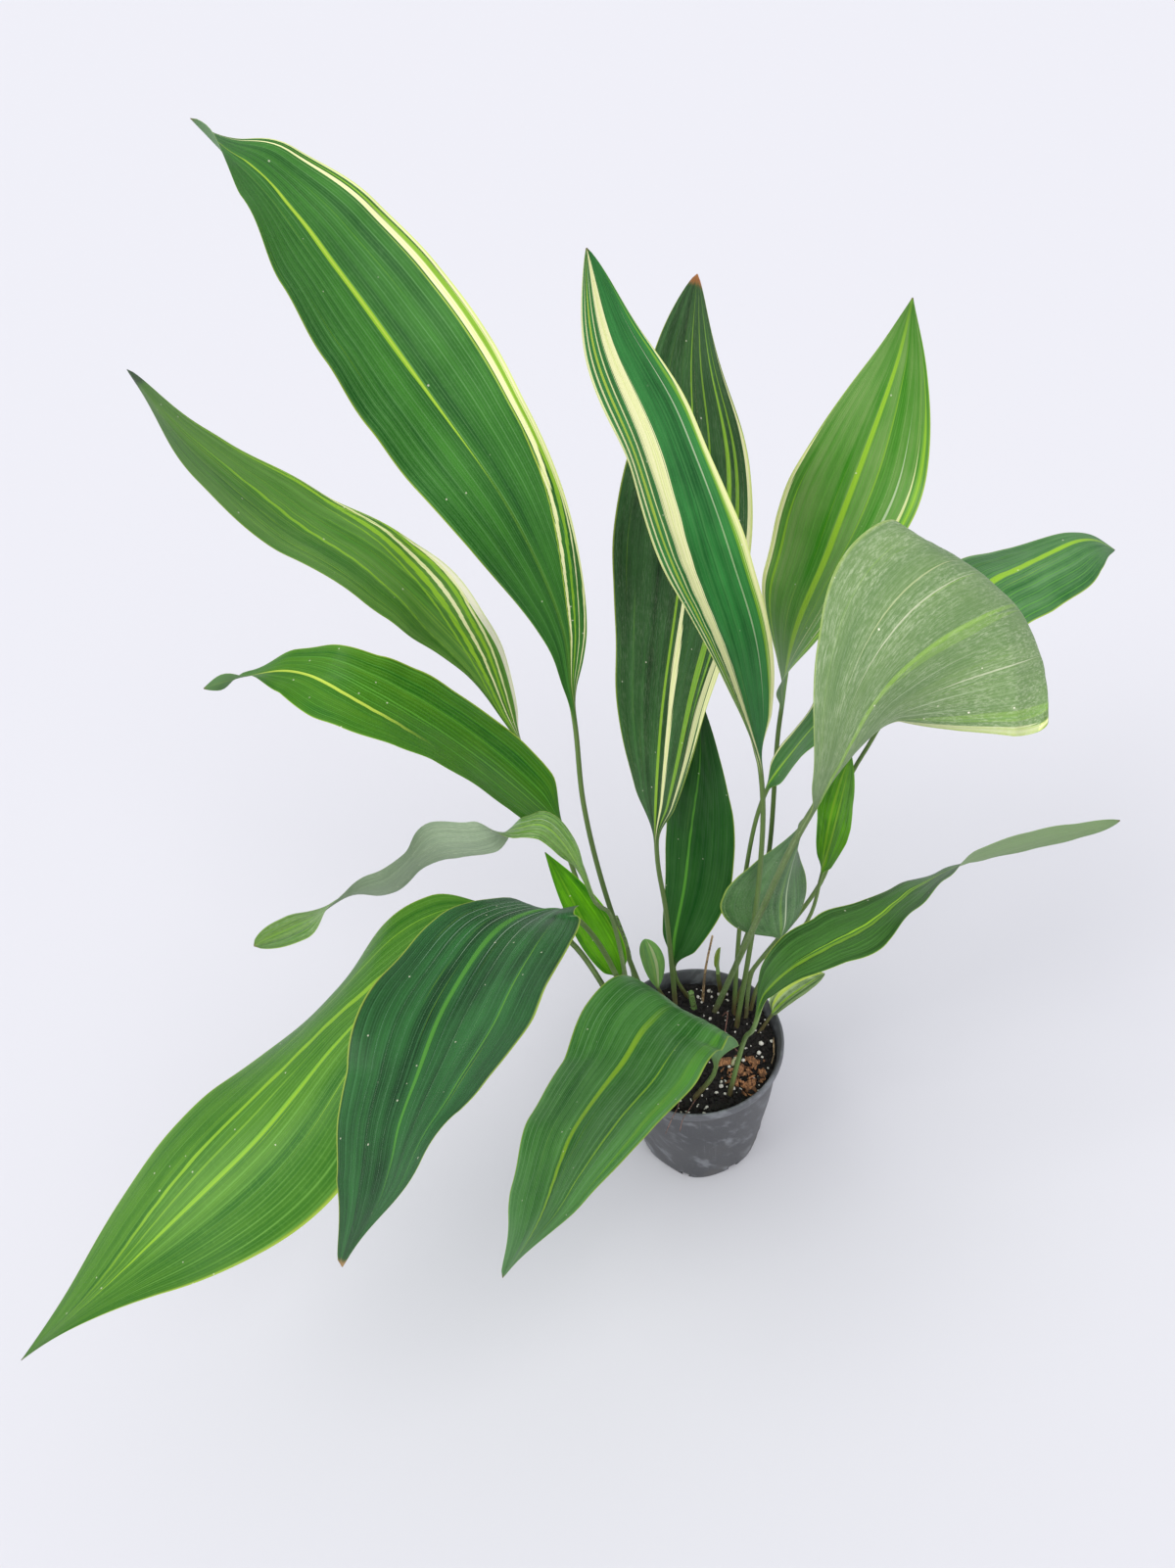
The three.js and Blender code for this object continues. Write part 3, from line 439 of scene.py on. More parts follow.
# Each leaf: where it leaves the mix, its middle line in millimetres and the point where the blade starts; how the
# blade lies; its greens; where its middle vein runs across (-1 to 1) at even steps from base to tip; and its
# stripes, counted from that vein: middle (or first and last middle and the share of the blade between them),
# half width, start and end along the blade, tint and strength.
leaves = {
    "leaf_left_tallest": dict(
        root=(-0.034, 0.046), stalk=0.0024, bladeFrom=3, lean=150, width=0.099, peak=0.67, sharp=1.97,
        roll=(-10, -30, -46, -51, -49, -47, -35, -25, -16, 2, 48), fold=14, curl=-0.1,
        waves=(0.002, 2.5, 0.4),
        spine=[(-58, 56, 260), (-67, 58, 375), (-65, 67, 440), (-65, 73, 476), (-64, 80, 522), (-86, 78, 618),
        (-125, 100, 696), (-167, 120, 768), (-200, 131, 818), (-215, 134, 834), (-224, 136, 846),
        (-229, 137, 853)],
        deep="155115", fresh="41832b", pale="6a9e5c", ribStrength=0.12, veins=[0, 0, 0, 0.03, -0.06, -0.4],
        bands=[((-0.12, -0.86, 0.5), 0.035, -0.1, 0.9, "cream", 1),
        ((-0.75, -0.99, 0.3), 0.03, -0.1, 0.95, "cream", 0.9),
        ((-0.3, -0.92, 0.45), 0.03, -0.1, 0.8, "lime", 0.8),
        ((-0.05, -0.8, 0.5), 0.012, 0, 0.7, "yellow", 0.6),
        ((-0.5, -0.95, 0.4), 0.014, -0.1, 0.6, "cream", 0.8), (0, 0.036, 0.56, 0.9, "lime", 1),
        (0, 0.01, 0.56, 0.95, "yellow", 0.7)]),
    "leaf_left_upper": dict(
        root=(-0.042, 0.037), stalk=0.0023, bladeFrom=3, lean=168, width=0.072, peak=0.68, sharp=2.07,
        roll=(0, -53, -71, -20, -7, 7, 21), fold=8, waves=(0.003, 3, 1),
        spine=[(-74, 64, 235), (-94, 109, 321), (-108, 118, 377), (-129, 108, 495), (-183, 92, 586),
        (-236, 99, 626), (-282, 108, 680), (-306, 118, 729)],
        deep="23600a", fresh="6b9544", threads=0.62, ribStrength=0.1, veins=[0.9, 0.88, 0.6, 0.1, -0.3, -0.1],
        brownFrom=0.97, brown="3c5a30", bands=[(-0.97, 0.12, -0.1, 0.42, "ivory", 1),
        ((-0.12, -1, 0.85), 0.04, -0.1, 0.7, "lime", 0.95),
        ((-0.3, -1.1, 0.85), 0.028, -0.1, 0.65, "cream", 0.9),
        ((-0.45, -1.2, 0.85), 0.03, -0.1, 0.6, "lime", 0.9),
        ((-0.6, -1.2, 0.85), 0.026, -0.1, 0.5, "cream", 0.9),
        ((0, -0.85, 0.85), 0.016, 0, 0.6, "lime", 0.7), (0, 0.026, 0.5, 0.85, "lime", 0.8),
        (-0.9, 0.02, 0.6, 0.98, "lime", 0.8)]),
    "leaf_left_middle": dict(
        root=(-0.038, 0.024), stalk=0.0022, bladeFrom=2, lean=160, width=0.079, peak=0.38, sharp=1.4,
        roll=(-6, -1, 2, 4, 2, -3, -13, -29, -12, 26, 138), fold=9, waves=(0.002, 2, 2),
        spine=[(-64, 44, 228), (-84, 59, 343), (-121, 75, 400), (-167, 83, 448), (-216, 92, 481),
        (-271, 125, 487), (-304, 130, 486), (-336, 117, 489)],
        deep="175d01", fresh="4f8312", rib=1.6, ribStart=0.4, ribEnd=1.05, ribTint="yellow", ribStrength=0.9,
        veins=[0.75, 0.78, 0.72, 0.1, 0, 0.2], bands=[(-0.35, 0.012, 0.1, 0.7, "bright", 0.5),
        (-0.6, 0.012, 0.2, 0.8, "bright", 0.4)]),
    "leaf_left_twisted": dict(
        root=(-0.05, 0.012), stalk=0.0021, bladeFrom=2, lean=172, width=0.05, slot="leaf_pale", peak=0.68,
        sharp=1.97, roll=(-117, -126, -46, 7, 86, 91, 52, 62, 38, 15, -1), fold=4, waves=(0.002, 3, 0),
        spine=[(-58, 15, 291), (-68, 3, 321), (-78, 8, 363), (-98, 20, 393), (-117, 26, 389), (-150, 31, 377),
        (-185, 44, 367), (-222, 22, 354), (-254, 16, 352), (-286, -1, 347), (-320, -25, 356)],
        deep="0a390c", fresh="477c3d", ribStrength=0.15, under="93a68a", underPale=0.95, frostAndSheen=0.6,
        threads=0.5, bands=[(-0.4, 0.03, 0.25, 0.8, "pale", 0.7), (0.3, 0.02, 0.25, 0.75, "pale", 0.7),
        (0.1, 0.012, 0.25, 0.8, "white", 0.5), (0.7, 0.03, 0.3, 0.8, "white", 0.4)]),
    "leaf_left_young": dict(
        root=(-0.053, 0.026), stalk=0.0019, bladeFrom=1, lean=110, width=0.034, slot="leaf_young", peak=0.41,
        sharp=1.8, roll=(-4, -4), fold=8, waves=(0.0005, 2, 0),
        spine=[(-57, 27, 195), (-77, 30, 278), (-102, 42, 344)],
        deep="075d01", fresh="71be09", pale="58a01c", ribStrength=0.3, veins=[0.2, 0.2, 0.3, 0.3, 0.2, 0],
        bands=[(0.45, 0.02, 0, 0.6, "lime", 0.6), (-0.8, 0.03, 0, 0.5, "lime", 0.5)]),
    "leaf_front_left_long": dict(
        root=(-0.048, 0), stalk=0.0026, bladeFrom=2, lean=214, width=0.134, peak=0.47, sharp=1.95,
        roll=(-19, 13, -17, 30), fold=7, curl=0.45, waves=(0.003, 2.5, 1),
        spine=[(-90, -4, 284), (-126, -13, 342), (-185, -29, 348), (-254, -72, 321), (-329, -136, 278),
        (-419, -186, 243), (-492, -242, 218)],
        deep="24610a", fresh="568924", pale="6fa544", rib=1.8, ribStrength=0.7,
        veins=[0, 0, -0.25, -0.45, -0.1, 0.5], bands=[(0.3, 0.02, 0.1, 0.85, "lime", 0.8),
        (-0.5, 0.012, 0.1, 0.4, "lime", 0.5), (0.62, 0.012, 0.1, 0.4, "lime", 0.5),
        (0.14, 0.01, 0.5, 0.9, "lime", 0.4)]),
    "leaf_front_left_drooping": dict(
        root=(-0.038, -0.014), stalk=0.0024, bladeFrom=2, lean=218, width=0.122, peak=0.51, sharp=1.07,
        roll=(40, 19, 12, 11, 20, 33, 49), fold=10, curl=-0.02, waves=(0.002, 2.5, 0),
        spine=[(-66, -8, 271), (-86, -32, 349), (-97, -42, 368), (-113, -54, 377), (-132, -85, 393),
        (-160, -140, 401), (-180, -189, 403), (-194, -219, 399), (-208, -258, 393), (-230, -295, 385)],
        deep="093313", fresh="306d33", pale="44784a", brownFrom=0.985, brown="b08a5a", ribTint="bright",
        rib=1.5, ribStrength=0.55, veins=[-0.1, -0.2, -0.2, -0.12, -0.05, 0.3],
        bands=[(0.6, 0.012, 0.3, 0.9, "bright", 0.5), (-0.35, 0.006, -0.1, 0.26, "pale", 0.7),
        (-0.5, 0.006, -0.1, 0.3, "pale", 0.7), (-0.65, 0.006, -0.1, 0.3, "pale", 0.7),
        (-0.2, 0.006, -0.1, 0.3, "pale", 0.7), (0.1, 0.006, -0.1, 0.28, "pale", 0.7),
        (0.25, 0.006, -0.1, 0.26, "pale", 0.7), (0.4, 0.006, -0.1, 0.2, "pale", 0.6)]),
    "leaf_front_drooping": dict(
        root=(-0.008, -0.05), stalk=0.0024, bladeFrom=1, lean=225, width=0.12, peak=0.5, sharp=1.12,
        roll=(-2, -2, 3, 20, 27, 35, 55), fold=8, curl=0.12, waves=(0.002, 2, 0),
        spine=[(11, -50, 160), (2, -41, 203), (-20, -49, 248), (-39, -73, 259), (-62, -115, 266),
        (-102, -172, 276), (-136, -220, 269), (-160, -250, 256)],
        deep="196010", fresh="5d9c48", pale="7fae74", rib=2.3, ribEnd=1.1, ribStart=0.26, ribStrength=0.95,
        veins=[0.1, 0, -0.05, -0.22, -0.02, 0.9], bands=[(0.86, 0.06, 0.3, 0.72, "bright", 0.65),
        (0.52, 0.014, 0.5, 0.9, "lime", 0.8)]),
    "leaf_centre_cream": dict(
        root=(0.04, 0.016), stalk=0.0023, bladeFrom=2, lean=135, width=0.078, peak=0.52, sharp=1.8,
        roll=(14, 1, 0, -15), fold=18, curl=-0.12, waves=(0.0015, 3, 0),
        spine=[(58, 0, 323), (59, -6, 437), (46, 6, 526), (18, 27, 605), (0, 46, 671), (-17, 58, 726),
        (-22, 65, 779)],
        deep="0b4a1c", fresh="3f9447", pale="4c8a4a", ribStrength=0,
        veins=[0.75, 0.6, 0.25, -0.03, -0.1, -0.05], bands=[(0, 0.15, -0.1, 1.2, "cream", 1),
        (0.36, 0.03, 0.1, 0.95, "cream", 0.9), (0.55, 0.04, 0.1, 1, "yellow", 0.8),
        (0.75, 0.03, 0.1, 0.95, "cream", 0.9), (0.98, 0.08, -0.1, 1, "cream", 1),
        (-0.98, 0.07, -0.2, 0.75, "cream", 1), (-0.9, 0.025, 0.1, 0.9, "lime", 0.6),
        (-0.75, 0.012, 0.2, 0.8, "white", 0.6)]),
    "leaf_centre_dark": dict(
        root=(-0.01, 0.05), stalk=0.0024, bladeFrom=2, lean=30, width=0.105, peak=0.55, sharp=1.75,
        roll=(8, 11, 26, 0), fold=8, waves=(0.002, 3, 2),
        spine=[(-11, 53, 245), (-14, 55, 315), (-1, 75, 428), (21, 95, 533), (37, 107, 624), (40, 113, 688),
        (46, 114, 740)],
        # this leaf's pale speckles are a painted sheen, a grey gloss over the dark blade
        deep="022802", fresh="3f6f38", pale="2f5a30", frostAndSheen=0.14, brownFrom=0.982, brown="b0703c",
        threads=0.68, bands=[((-0.3, -0.1, 0.6), 0.06, -0.1, 0.47, "cream", 0.95),
        (-0.62, 0.05, 0, 0.5, "lime", 0.7), (-0.85, 0.05, 0.1, 0.45, "cream", 0.7),
        (-0.95, 0.05, 0.3, 0.8, "cream", 0.9), (-0.62, 0.035, 0.6, 0.9, "lime", 0.9),
        (-0.75, 0.025, 0.4, 0.85, "lime", 0.7), (-0.3, 0.02, 0.7, 1, "lime", 0.6),
        (0, 0.014, 0.75, 1, "lime", 0.6)]),
    "leaf_right_upper": dict(
        root=(0.032, 0.047), stalk=0.0023, bladeFrom=2, lean=35, width=0.102, peak=0.46, sharp=2,
        roll=(-60, -17, 26, 19), fold=14, curl=-0.05, waves=(0.002, 2.5, 1),
        spine=[(76, 70, 245), (93, 90, 404), (108, 103, 476), (139, 121, 533), (167, 136, 594),
        (186, 150, 647), (195, 160, 690)],
        deep="327d0e", fresh="7e9f58", threads=0.66, rib=2.4, ribEnd=1.1, ribStrength=0.95,
        veins=[0.05, 0.05, 0.05, 0.12, 0.12, 0.05], bands=[(0.97, 0.06, -0.1, 0.6, "cream", 1),
        (0.8, 0.02, -0.1, 0.5, "lime", 0.9), (-0.82, 0.03, 0.3, 0.62, "cream", 0.65),
        (-0.62, 0.02, 0.3, 0.66, "white", 0.5), (-0.9, 0.03, 0.1, 0.8, "lime", 0.8),
        (-0.28, 0.012, 0.1, 0.9, "lime", 0.5), (-0.5, 0.02, -0.1, 0.25, "cream", 0.6)]),
    "leaf_right_pale": dict(
        root=(0.024, 0.036), stalk=0.0026, bladeFrom=2, lean=79, width=0.142, slot="leaf_pale", peak=0.58,
        sharp=1.78, roll=(-116, -132, -125, -127), fold=2, curl=-0.41, waves=(0.005, 2.3, 3.3),
        spine=[(48, -41, 325), (62, -124, 505), (82, -127, 551), (106, -112, 582), (141, -90, 598),
        (181, -66, 597), (206, -41, 575), (204, -21, 515), (195, -15, 473)],
        deep="44682f", fresh="6f8b4c", pale="93aa78", under="7d9a68", underPale=0.45, dust=1, frostAndSheen=0.5,
        rib=1.3, ribStrength=0.9, ribEnd=0.75, veins=[-0.5, -0.12, 0.03, 0.05, 0, 0],
        bands=[(-0.35, 0.014, 0.34, 0.45, "ivory", 0.7), (-0.5, 0.01, 0.36, 0.46, "cream", 0.5),
        (0.47, 0.016, 0.45, 0.53, "ivory", 0.65), (0.6, 0.012, 0.3, 0.45, "white", 0.6),
        (0.97, 0.03, 0.1, 0.7, "cream", 0.9), (0.86, 0.04, 0.3, 0.7, "lime", 0.5),
        (0.05, 0.05, 0.38, 0.52, "lime", 0.4), (0.75, 0.01, 0.1, 0.4, "white", 0.6),
        (0.25, 0.008, 0.25, 0.4, "white", 0.4)]),
    "leaf_right_far": dict(
        root=(0.044, 0.042), stalk=0.0021, bladeFrom=4, lean=20, width=0.083, peak=0.46, sharp=1.74,
        roll=(-15, -26, -1, 9, 10, 23, 20), fold=-5, curl=0.2, waves=(0.002, 2, 0),
        spine=[(58, 48, 150), (126, 69, 238), (145, 75, 342), (164, 77, 385), (202, 98, 446), (254, 114, 486),
        (286, 122, 488), (320, 132, 489), (341, 143, 488), (356, 152, 483), (373, 160, 471)],
        deep="175622", fresh="65915d", rib=3.2, ribEnd=1.1, ribStrength=0.95,
        veins=[0, 0, -0.1, 0.15, 0.4, 0.2], bands=[]),
    "leaf_right_twisted": dict(
        root=(0.021, -0.052), stalk=0.0022, bladeFrom=2, lean=352, width=0.06, peak=0.44, sharp=1.41,
        roll=(14, -3, -4, -11, -15, -22, -40, -59, -64, -73, -93), fold=5, curl=0.05, waves=(0.0015, 3, 0),
        spine=[(33, -60, 205), (35, -101, 284), (45, -90, 311), (65, -82, 327), (94, -76, 335),
        (125, -68, 337), (159, -58, 353), (189, -53, 367), (216, -55, 379), (248, -60, 392), (274, -67, 403),
        (289, -71, 411)],
        deep="0f3706", fresh="46782f", under="8fa878", underPale=0.8, pale="4f7d3a", rib=1.2, ribStrength=0.5,
        veins=[-0.4, -0.35, -0.07, 0.3, 0.3, 0], bands=[(0.1, 0.03, 0.28, 0.58, "lime", 0.95),
        (-0.4, 0.01, 0.2, 0.6, "bright", 0.5)]),
    "leaf_centre_small": dict(
        root=(0.002, 0.056), stalk=0.002, bladeFrom=1, lean=30, width=0.064, peak=0.48, sharp=1.65,
        roll=(20, 23, 13), fold=6, curl=0.05, waves=(0.001, 3, 0),
        spine=[(-8, 55, 163), (19, 66, 263), (26, 69, 367), (28, 72, 456)],
        deep="044c06", fresh="3a6e2f", pale="2a5a28", brownFrom=0.975, brown="b0603a", ribTint="bright",
        veins=[0.3, 0.35, 0.38, 0.2, 0, 0], bands=[]),
    "leaf_right_folded": dict(
        root=(0.05, 0.024), stalk=0.002, bladeFrom=2, lean=15, width=0.095, slot="leaf_pale", peak=0.48,
        sharp=1.5, roll=(95, 130), fold=-9, curl=0.33, waves=(0.001, 2, 0),
        spine=[(57, 25, 185), (77, 15, 233), (80, 18, 285), (101, 29, 354)],
        deep="254d24", fresh="5a8a4a", under="7f9a70", frostAndSheen=0.3, pale="5f8556", ribStrength=0.25,
        brownFrom=0.98, brown="7a5a34", bands=[(-0.15, 0.02, 0, 0.8, "white", 0.8)]),
    "leaf_right_narrow": dict(
        root=(0.056, 0.032), stalk=0.0019, bladeFrom=3, lean=15, width=0.043, slot="leaf_young", peak=0.51,
        sharp=1.8, roll=(4, 6), fold=10, waves=(0.001, 2, 0),
        spine=[(64, 35, 152), (110, 50, 211), (121, 52, 264), (134, 58, 328), (142, 58, 386)],
        deep="286702", fresh="7cc817", bands=[(0.3, 0.05, 0, 0.9, "lime", 0.8)]),
    "leaf_right_inner": dict(
        root=(0.04, 0.03), stalk=0.0021, bladeFrom=2, lean=15, width=0.058, peak=0.49, sharp=1.75,
        roll=(-8, -27, -15, -7), fold=6, curl=0.05, waves=(0.001, 2, 0),
        spine=[(55, 39, 294), (72, 42, 375), (97, 45, 416), (127, 48, 454), (151, 60, 486), (181, 67, 501)],
        deep="1d5819", fresh="48803d", bands=[(0.9, 0.06, 0, 0.8, "cream", 0.9)]),
    "leaf_seedling_left": dict(
        root=(-0.018, 0.056), stalk=0.0018, bladeFrom=1, lean=262, width=0.024, slot="leaf_young", peak=0.5,
        sharp=1.6, roll=(0, 0), fold=30, waves=(0.0005, 1, 0),
        spine=[(-24, 54, 142), (-27, 52, 180), (-31, 49, 217)],
        deep="2e8c08", fresh="9de833", bands=[(0.3, 0.1, 0, 0.9, "cream", 0.8),
        (-0.6, 0.05, 0.1, 0.8, "lime", 0.8)]),
    "leaf_seedling_right": dict(
        root=(0.06, 0.008), stalk=0.0018, bladeFrom=1, lean=15, width=0.03, slot="leaf_young", peak=0.5,
        sharp=1.6, roll=(0, 0), fold=35, waves=(0.0005, 1, 0),
        spine=[(70, 9, 140), (82, 12, 154), (101, 18, 163), (120, 24, 168)],
        deep="234b19", fresh="c5d9a0", bands=[(0.5, 0.12, 0.1, 1, "yellow", 0.8),
        (-0.5, 0.2, 0.1, 1, "dark", 0.6)]),
    "shoot_rolled": dict(
        root=(0.033, 0.057), stalk=0.0024, bladeFrom=1, lean=0, width=0.013, slot="leaf_young", peak=0.4,
        sharp=1.2, roll=(0, 0), fold=30, waves=(0, 1, 0),
        spine=[(31, 55, 150), (34, 53, 187)],
        deep="86a83c", fresh="b4c860", bands=[]),
}

for node, leaf in leaves.items():
    name = "leaf" + "".join(word.capitalize() for word in node.split("_") if word != "leaf")
    newObject(name, leafMesh(name, leaf), leafMaterial(name, leaf), [node])
print("leaves:", len(leaves))


potForm = dict(
    height=0.135, rim=0.0775, neck=0.0735, base=0.056, wall=0.0016, floor=0.003, lip=0.009, sides=192)
drainHoles = dict(count=8, ring=0.0515, slant=36, size=dict(
    radius1=0.0045, radius2=0.0045, depth=0.02, segments=24))


def wallRadius(z):
    return lerp(potForm["base"], potForm["neck"], z / (potForm["height"] - potForm["lip"]))


def latheMesh(name, outline, sides, dent):
    # outline is (radius, height) from the axis round to the axis; dent moves a point by its turn and height
    turns = np.arange(sides) / sides * 2 * math.pi
    points, faces = [(0, 0, outline[0][1])], []
    for radius, z in outline[1:-1]:
        for turn in turns:
            dr, dz = dent(turn, z)
            points.append((*polar(radius + dr, turn), z + dz))
    points.append((0, 0, outline[-1][1]))
    rows, end = len(outline) - 2, len(points) - 1
    for i in range(sides):
        after = (i + 1) % sides
        faces.append((0, 1 + after, 1 + i))
        for row in range(rows - 1):
            a, b = 1 + row * sides, 1 + (row + 1) * sides
            faces.append((a + i, a + after, b + after, b + i))
        faces.append((1 + (rows - 1) * sides + i, 1 + (rows - 1) * sides + after, end))
    return smoothMesh(name, points, faces)


def potDent(turn, z):
    # soft dents of a much used pot: waves, most of them low down, and a bottom edge that lifts here and there
    low = float(1 - smooth(z / 0.06))
    radial = (0.0011 * math.sin(3 * turn + 0.7) + 0.0007 * math.sin(7 * turn + 2)) * low
    middle = 0.0009 * math.sin(4 * turn + 40 * z) * math.sin(math.pi * min(z / 0.126, 1))
    lift = 0.0016 * max(0.0, math.sin(5 * turn + 0.4)) * float(1 - smooth(z / 0.012))
    return radial + middle, lift


def potMesh():
    # from the middle of the underside up the wall, over the rolled lip and down the inside
    base, neck, rim, high = (potForm[key] for key in ("base", "neck", "rim", "height"))
    wall, within, under = potForm["wall"], potForm["floor"], high - potForm["lip"]
    outline = [(0, 0.0008), (base - 0.008, 0.0008), (base - 0.005, 0.0), (base - 0.0022, 0.0),
               (base - 0.0006, 0.0008), (wallRadius(0.003) - 0.0001, 0.003)]
    outline += [(wallRadius(z), z) for z in np.linspace(0.006, under - 0.002, 26)]
    outline += [(neck + 0.0002, under - 0.0008), (rim - 0.0012, under), (rim - 0.0004, under + 0.0008),
                (rim - 0.0001, under + 0.002), (rim, high - 0.002), (rim - 0.0003, high - 0.0008),
                (rim - 0.0009, high - 0.0002), (rim - 0.0016, high), (rim - 0.0022, high - 0.0002),
                (rim - 0.0028, high - 0.001)]
    outline += [(wallRadius(z) - wall, z) for z in np.linspace(under, within + 0.003, 20)]
    outline += [(wallRadius(0) - wall - 0.003, within), (0, within)]
    return latheMesh("potShell", outline, potForm["sides"], potDent)


def potMaterial():
    shader = Shader("potPlastic")
    place = shader.place()
    parts = shader.node("SeparateXYZ", None, {0: place})
    height = parts.output("Z")
    turn = shader.node("Math", {"operation": "ARCTAN2"}, {0: parts.output("Y"), 1: parts})
    broad = shader.noise(place, 28.0, 4.0, 0.6)
    fine = shader.noise(place, 420.0, 3.0)
    # the long diagonal streaks are painted highlights on the wall; the fine upright ones are scratches
    drawn = shader.noise(shader.vector(turn * 3.5 + height * 45, height * 26 - turn * 1.5, 0), 1.0, 3.0, 0.6)
    scratch = shader.noise(shader.vector(turn * 60, height * 24, 5), 1.0, 3.0, 0.6)
    scuffAndHighlight = (drawn.ramp(0.5, 0.68) * 0.8 + scratch.ramp(0.6, 0.75) * 0.4).atMost(1)
    dust = (broad + fine * 0.4 - 0.2).ramp(0.42, 0.75) * (height.ramp(0.03, 0.0) * 0.7 + 0.25)
    base = shader.mix(broad, "303134", "404246")
    # painted highlights and scratches, a lighter grey over the plastic
    base = shader.mix(scuffAndHighlight * 0.62, base, "8f9297")
    base = shader.mix(height.ramp(0.122, 0.127) * 0.3, base, "7b7e83")
    base = shader.mix(dust * 0.5, base, "77736c")
    rings = (height * 2600).sine() * 0.5 + 0.5
    normal = shader.bump(fine * 0.4 + broad * 0.8 + rings * 0.12, 0.0004, 0.5)
    rough = 0.42 + scuffAndHighlight * 0.2 + dust * 0.25 + (broad - 0.5) * 0.15
    return shader.finish(base, rough, {"Normal": normal, "Specular IOR Level": 0.5})


def drill(piece, spots, size):
    # plain round holes, cut one after another and applied
    for spot in spots:
        made = bmesh.new()
        bmesh.ops.create_cone(made, cap_ends=True, matrix=spot, **size)
        mesh = bpy.data.meshes.new("drain")
        made.to_mesh(mesh)
        made.free()
        cutter = bpy.data.objects.new("drain", mesh)
        bpy.context.scene.collection.objects.link(cutter)
        boolean = piece.modifiers.new("hole", "BOOLEAN")
        boolean.operation, boolean.object, boolean.solver = "DIFFERENCE", cutter, "EXACT"
        depsgraph = bpy.context.evaluated_depsgraph_get()
        cut = bpy.data.meshes.new_from_object(piece.evaluated_get(depsgraph))
        piece.modifiers.clear()
        piece.data = cut
        bpy.data.objects.remove(cutter)


potShell = newObject("potShell", potMesh(), potMaterial(), ["pot"])
slant = Matrix.Rotation(math.radians(drainHoles["slant"]), 4, "Y")
outward = Matrix.Translation((drainHoles["ring"], 0, 0))
turns = [(i + 0.5) / drainHoles["count"] * 2 * math.pi for i in range(drainHoles["count"])]
drill(potShell, [Matrix.Rotation(turn, 4, "Z") @ outward @ slant for turn in turns], drainHoles["size"])
print("pot")


mix = dict(relief=0.0016, sink=0.001, grain=0.0011, gap=0.00035, sides=220, rings=96, crumbs=2600,
           perlite=250, seed=11)


def soilHeight(x, y):
    lumps = np.sin(x * 210 + 1) * np.cos(y * 190) + 0.6 * np.sin(x * 430 - y * 370 + 2)
    return soilTop - mix["sink"] + mix["relief"] * lumps / 1.6


def soilMesh():
    # a lumpy top in rings, a wall just inside the pot's and a flat underside
    sides, rings, gap, wall = mix["sides"], mix["rings"], mix["gap"], potForm["wall"]
    topRadius, low = wallRadius(soilTop) - wall - gap, potForm["floor"] + gap
    points, faces = [(0, 0, float(soilHeight(0, 0)))], []
    turns = np.arange(sides) / sides * 2 * math.pi
    for ring in range(1, rings + 1):
        radius = topRadius * ring / rings
        for turn in turns:
            x, y = polar(radius, turn)
            grain = noise.fractal((x * 260, y * 260, 3), 0.9, 2.1, 4) * mix["grain"]
            points.append((x, y, float(soilHeight(x, y)) + grain))
    for z, corner in ((0.02, 0), (low + 0.005, 0), (low, 0.004)):
        points += [(*polar(wallRadius(z) - wall - gap - corner, turn), z) for turn in turns]
    points.append((0, 0, low))
    for i in range(sides):
        after = (i + 1) % sides
        faces.append((0, 1 + i, 1 + after))
        for row in range(rings + 2):
            a, b = 1 + row * sides, 1 + (row + 1) * sides
            faces.append((a + i, b + i, b + after, a + after))
        a = 1 + (rings + 2) * sides
        faces.append((a + i, len(points) - 1, a + after))
    return smoothMesh("pottingMix", points, faces)


def soilMaterial():
    shader = Shader("pottingSoil")
    place = shader.place()
    coarse = shader.noise(place, 260.0, 5.0, 0.65)
    fine = shader.noise(place, 1100.0, 3.0)
    base = shader.mix(coarse.ramp(0.35, 0.7), "090706", "1e1611")
    base = shader.mix(fine.ramp(0.62, 0.75) * 0.5, base, "3c2c20")
    normal = shader.bump(coarse + fine * 0.5, 0.0012, 0.8)
    return shader.finish(base, coarse * 0.2 + 0.72, {"Normal": normal})


def grainMesh(name, places, rough, levels=1):
    # many small lumps in one mesh: centre, half sizes and turn of each
    made = bmesh.new()
    for centre, size, turn in places:
        spot = Matrix.Translation(centre) @ turn.to_matrix().to_4x4() @ Matrix.Diagonal((*size, 1))
        verts = bmesh.ops.create_icosphere(made, subdivisions=levels, radius=1, matrix=spot)["verts"]
        for vert in verts:
            push = noise.noise(vert.co * 900) * rough
            vert.co += (vert.co - Vector(centre)) * push
    mesh = bpy.data.meshes.new(name)
    made.to_mesh(mesh)
    made.free()
    mesh.shade_smooth()
    return mesh


def tumble(rand, *tilts):
    # any turn about the upright, then a tilt about each axis given, up to its limit either way
    spin = Matrix.Rotation(rand.uniform(0, 6.28), 3, "Z")
    for axis, limit in tilts:
        spin = spin @ Matrix.Rotation(rand.uniform(-limit, limit), 3, axis)
    return spin.to_quaternion()


def scatter(rand, count, smallest, largest, flatness, sink):
    places = []
    reach = wallRadius(soilTop) - 0.0035
    for _ in range(count):
        x, y = polar(reach * math.sqrt(rand.random()), rand.uniform(0, 2 * math.pi))
        size = smallest * (largest / smallest) ** (rand.random() ** 1.6)
        sizes = [size * rand.uniform(*share) for share in ((0.7, 1.2), (0.6, 1.0), (flatness, 0.9))]
        places.append(((x, y, float(soilHeight(x, y)) + size * sink), sizes, tumble(rand, ("X", 0.5))))
    return places


def perliteMaterial():
    shader = Shader("perliteGrain")
    place = shader.place()
    pores = shader.noise(place, 1500.0, 3.0, 0.6)
    patch = shader.noise(place, 240.0, 2.0)
    base = shader.mix(patch.ramp(0.45, 0.75) * 0.45, "e6e2d8", "a8987e")
    base = shader.mix(pores.ramp(0.58, 0.7) * 0.4, base, "8a8072")
    normal = shader.bump(pores, 0.0004, 0.7)
    return shader.finish(base, pores * 0.2 + 0.7, {"Normal": normal})


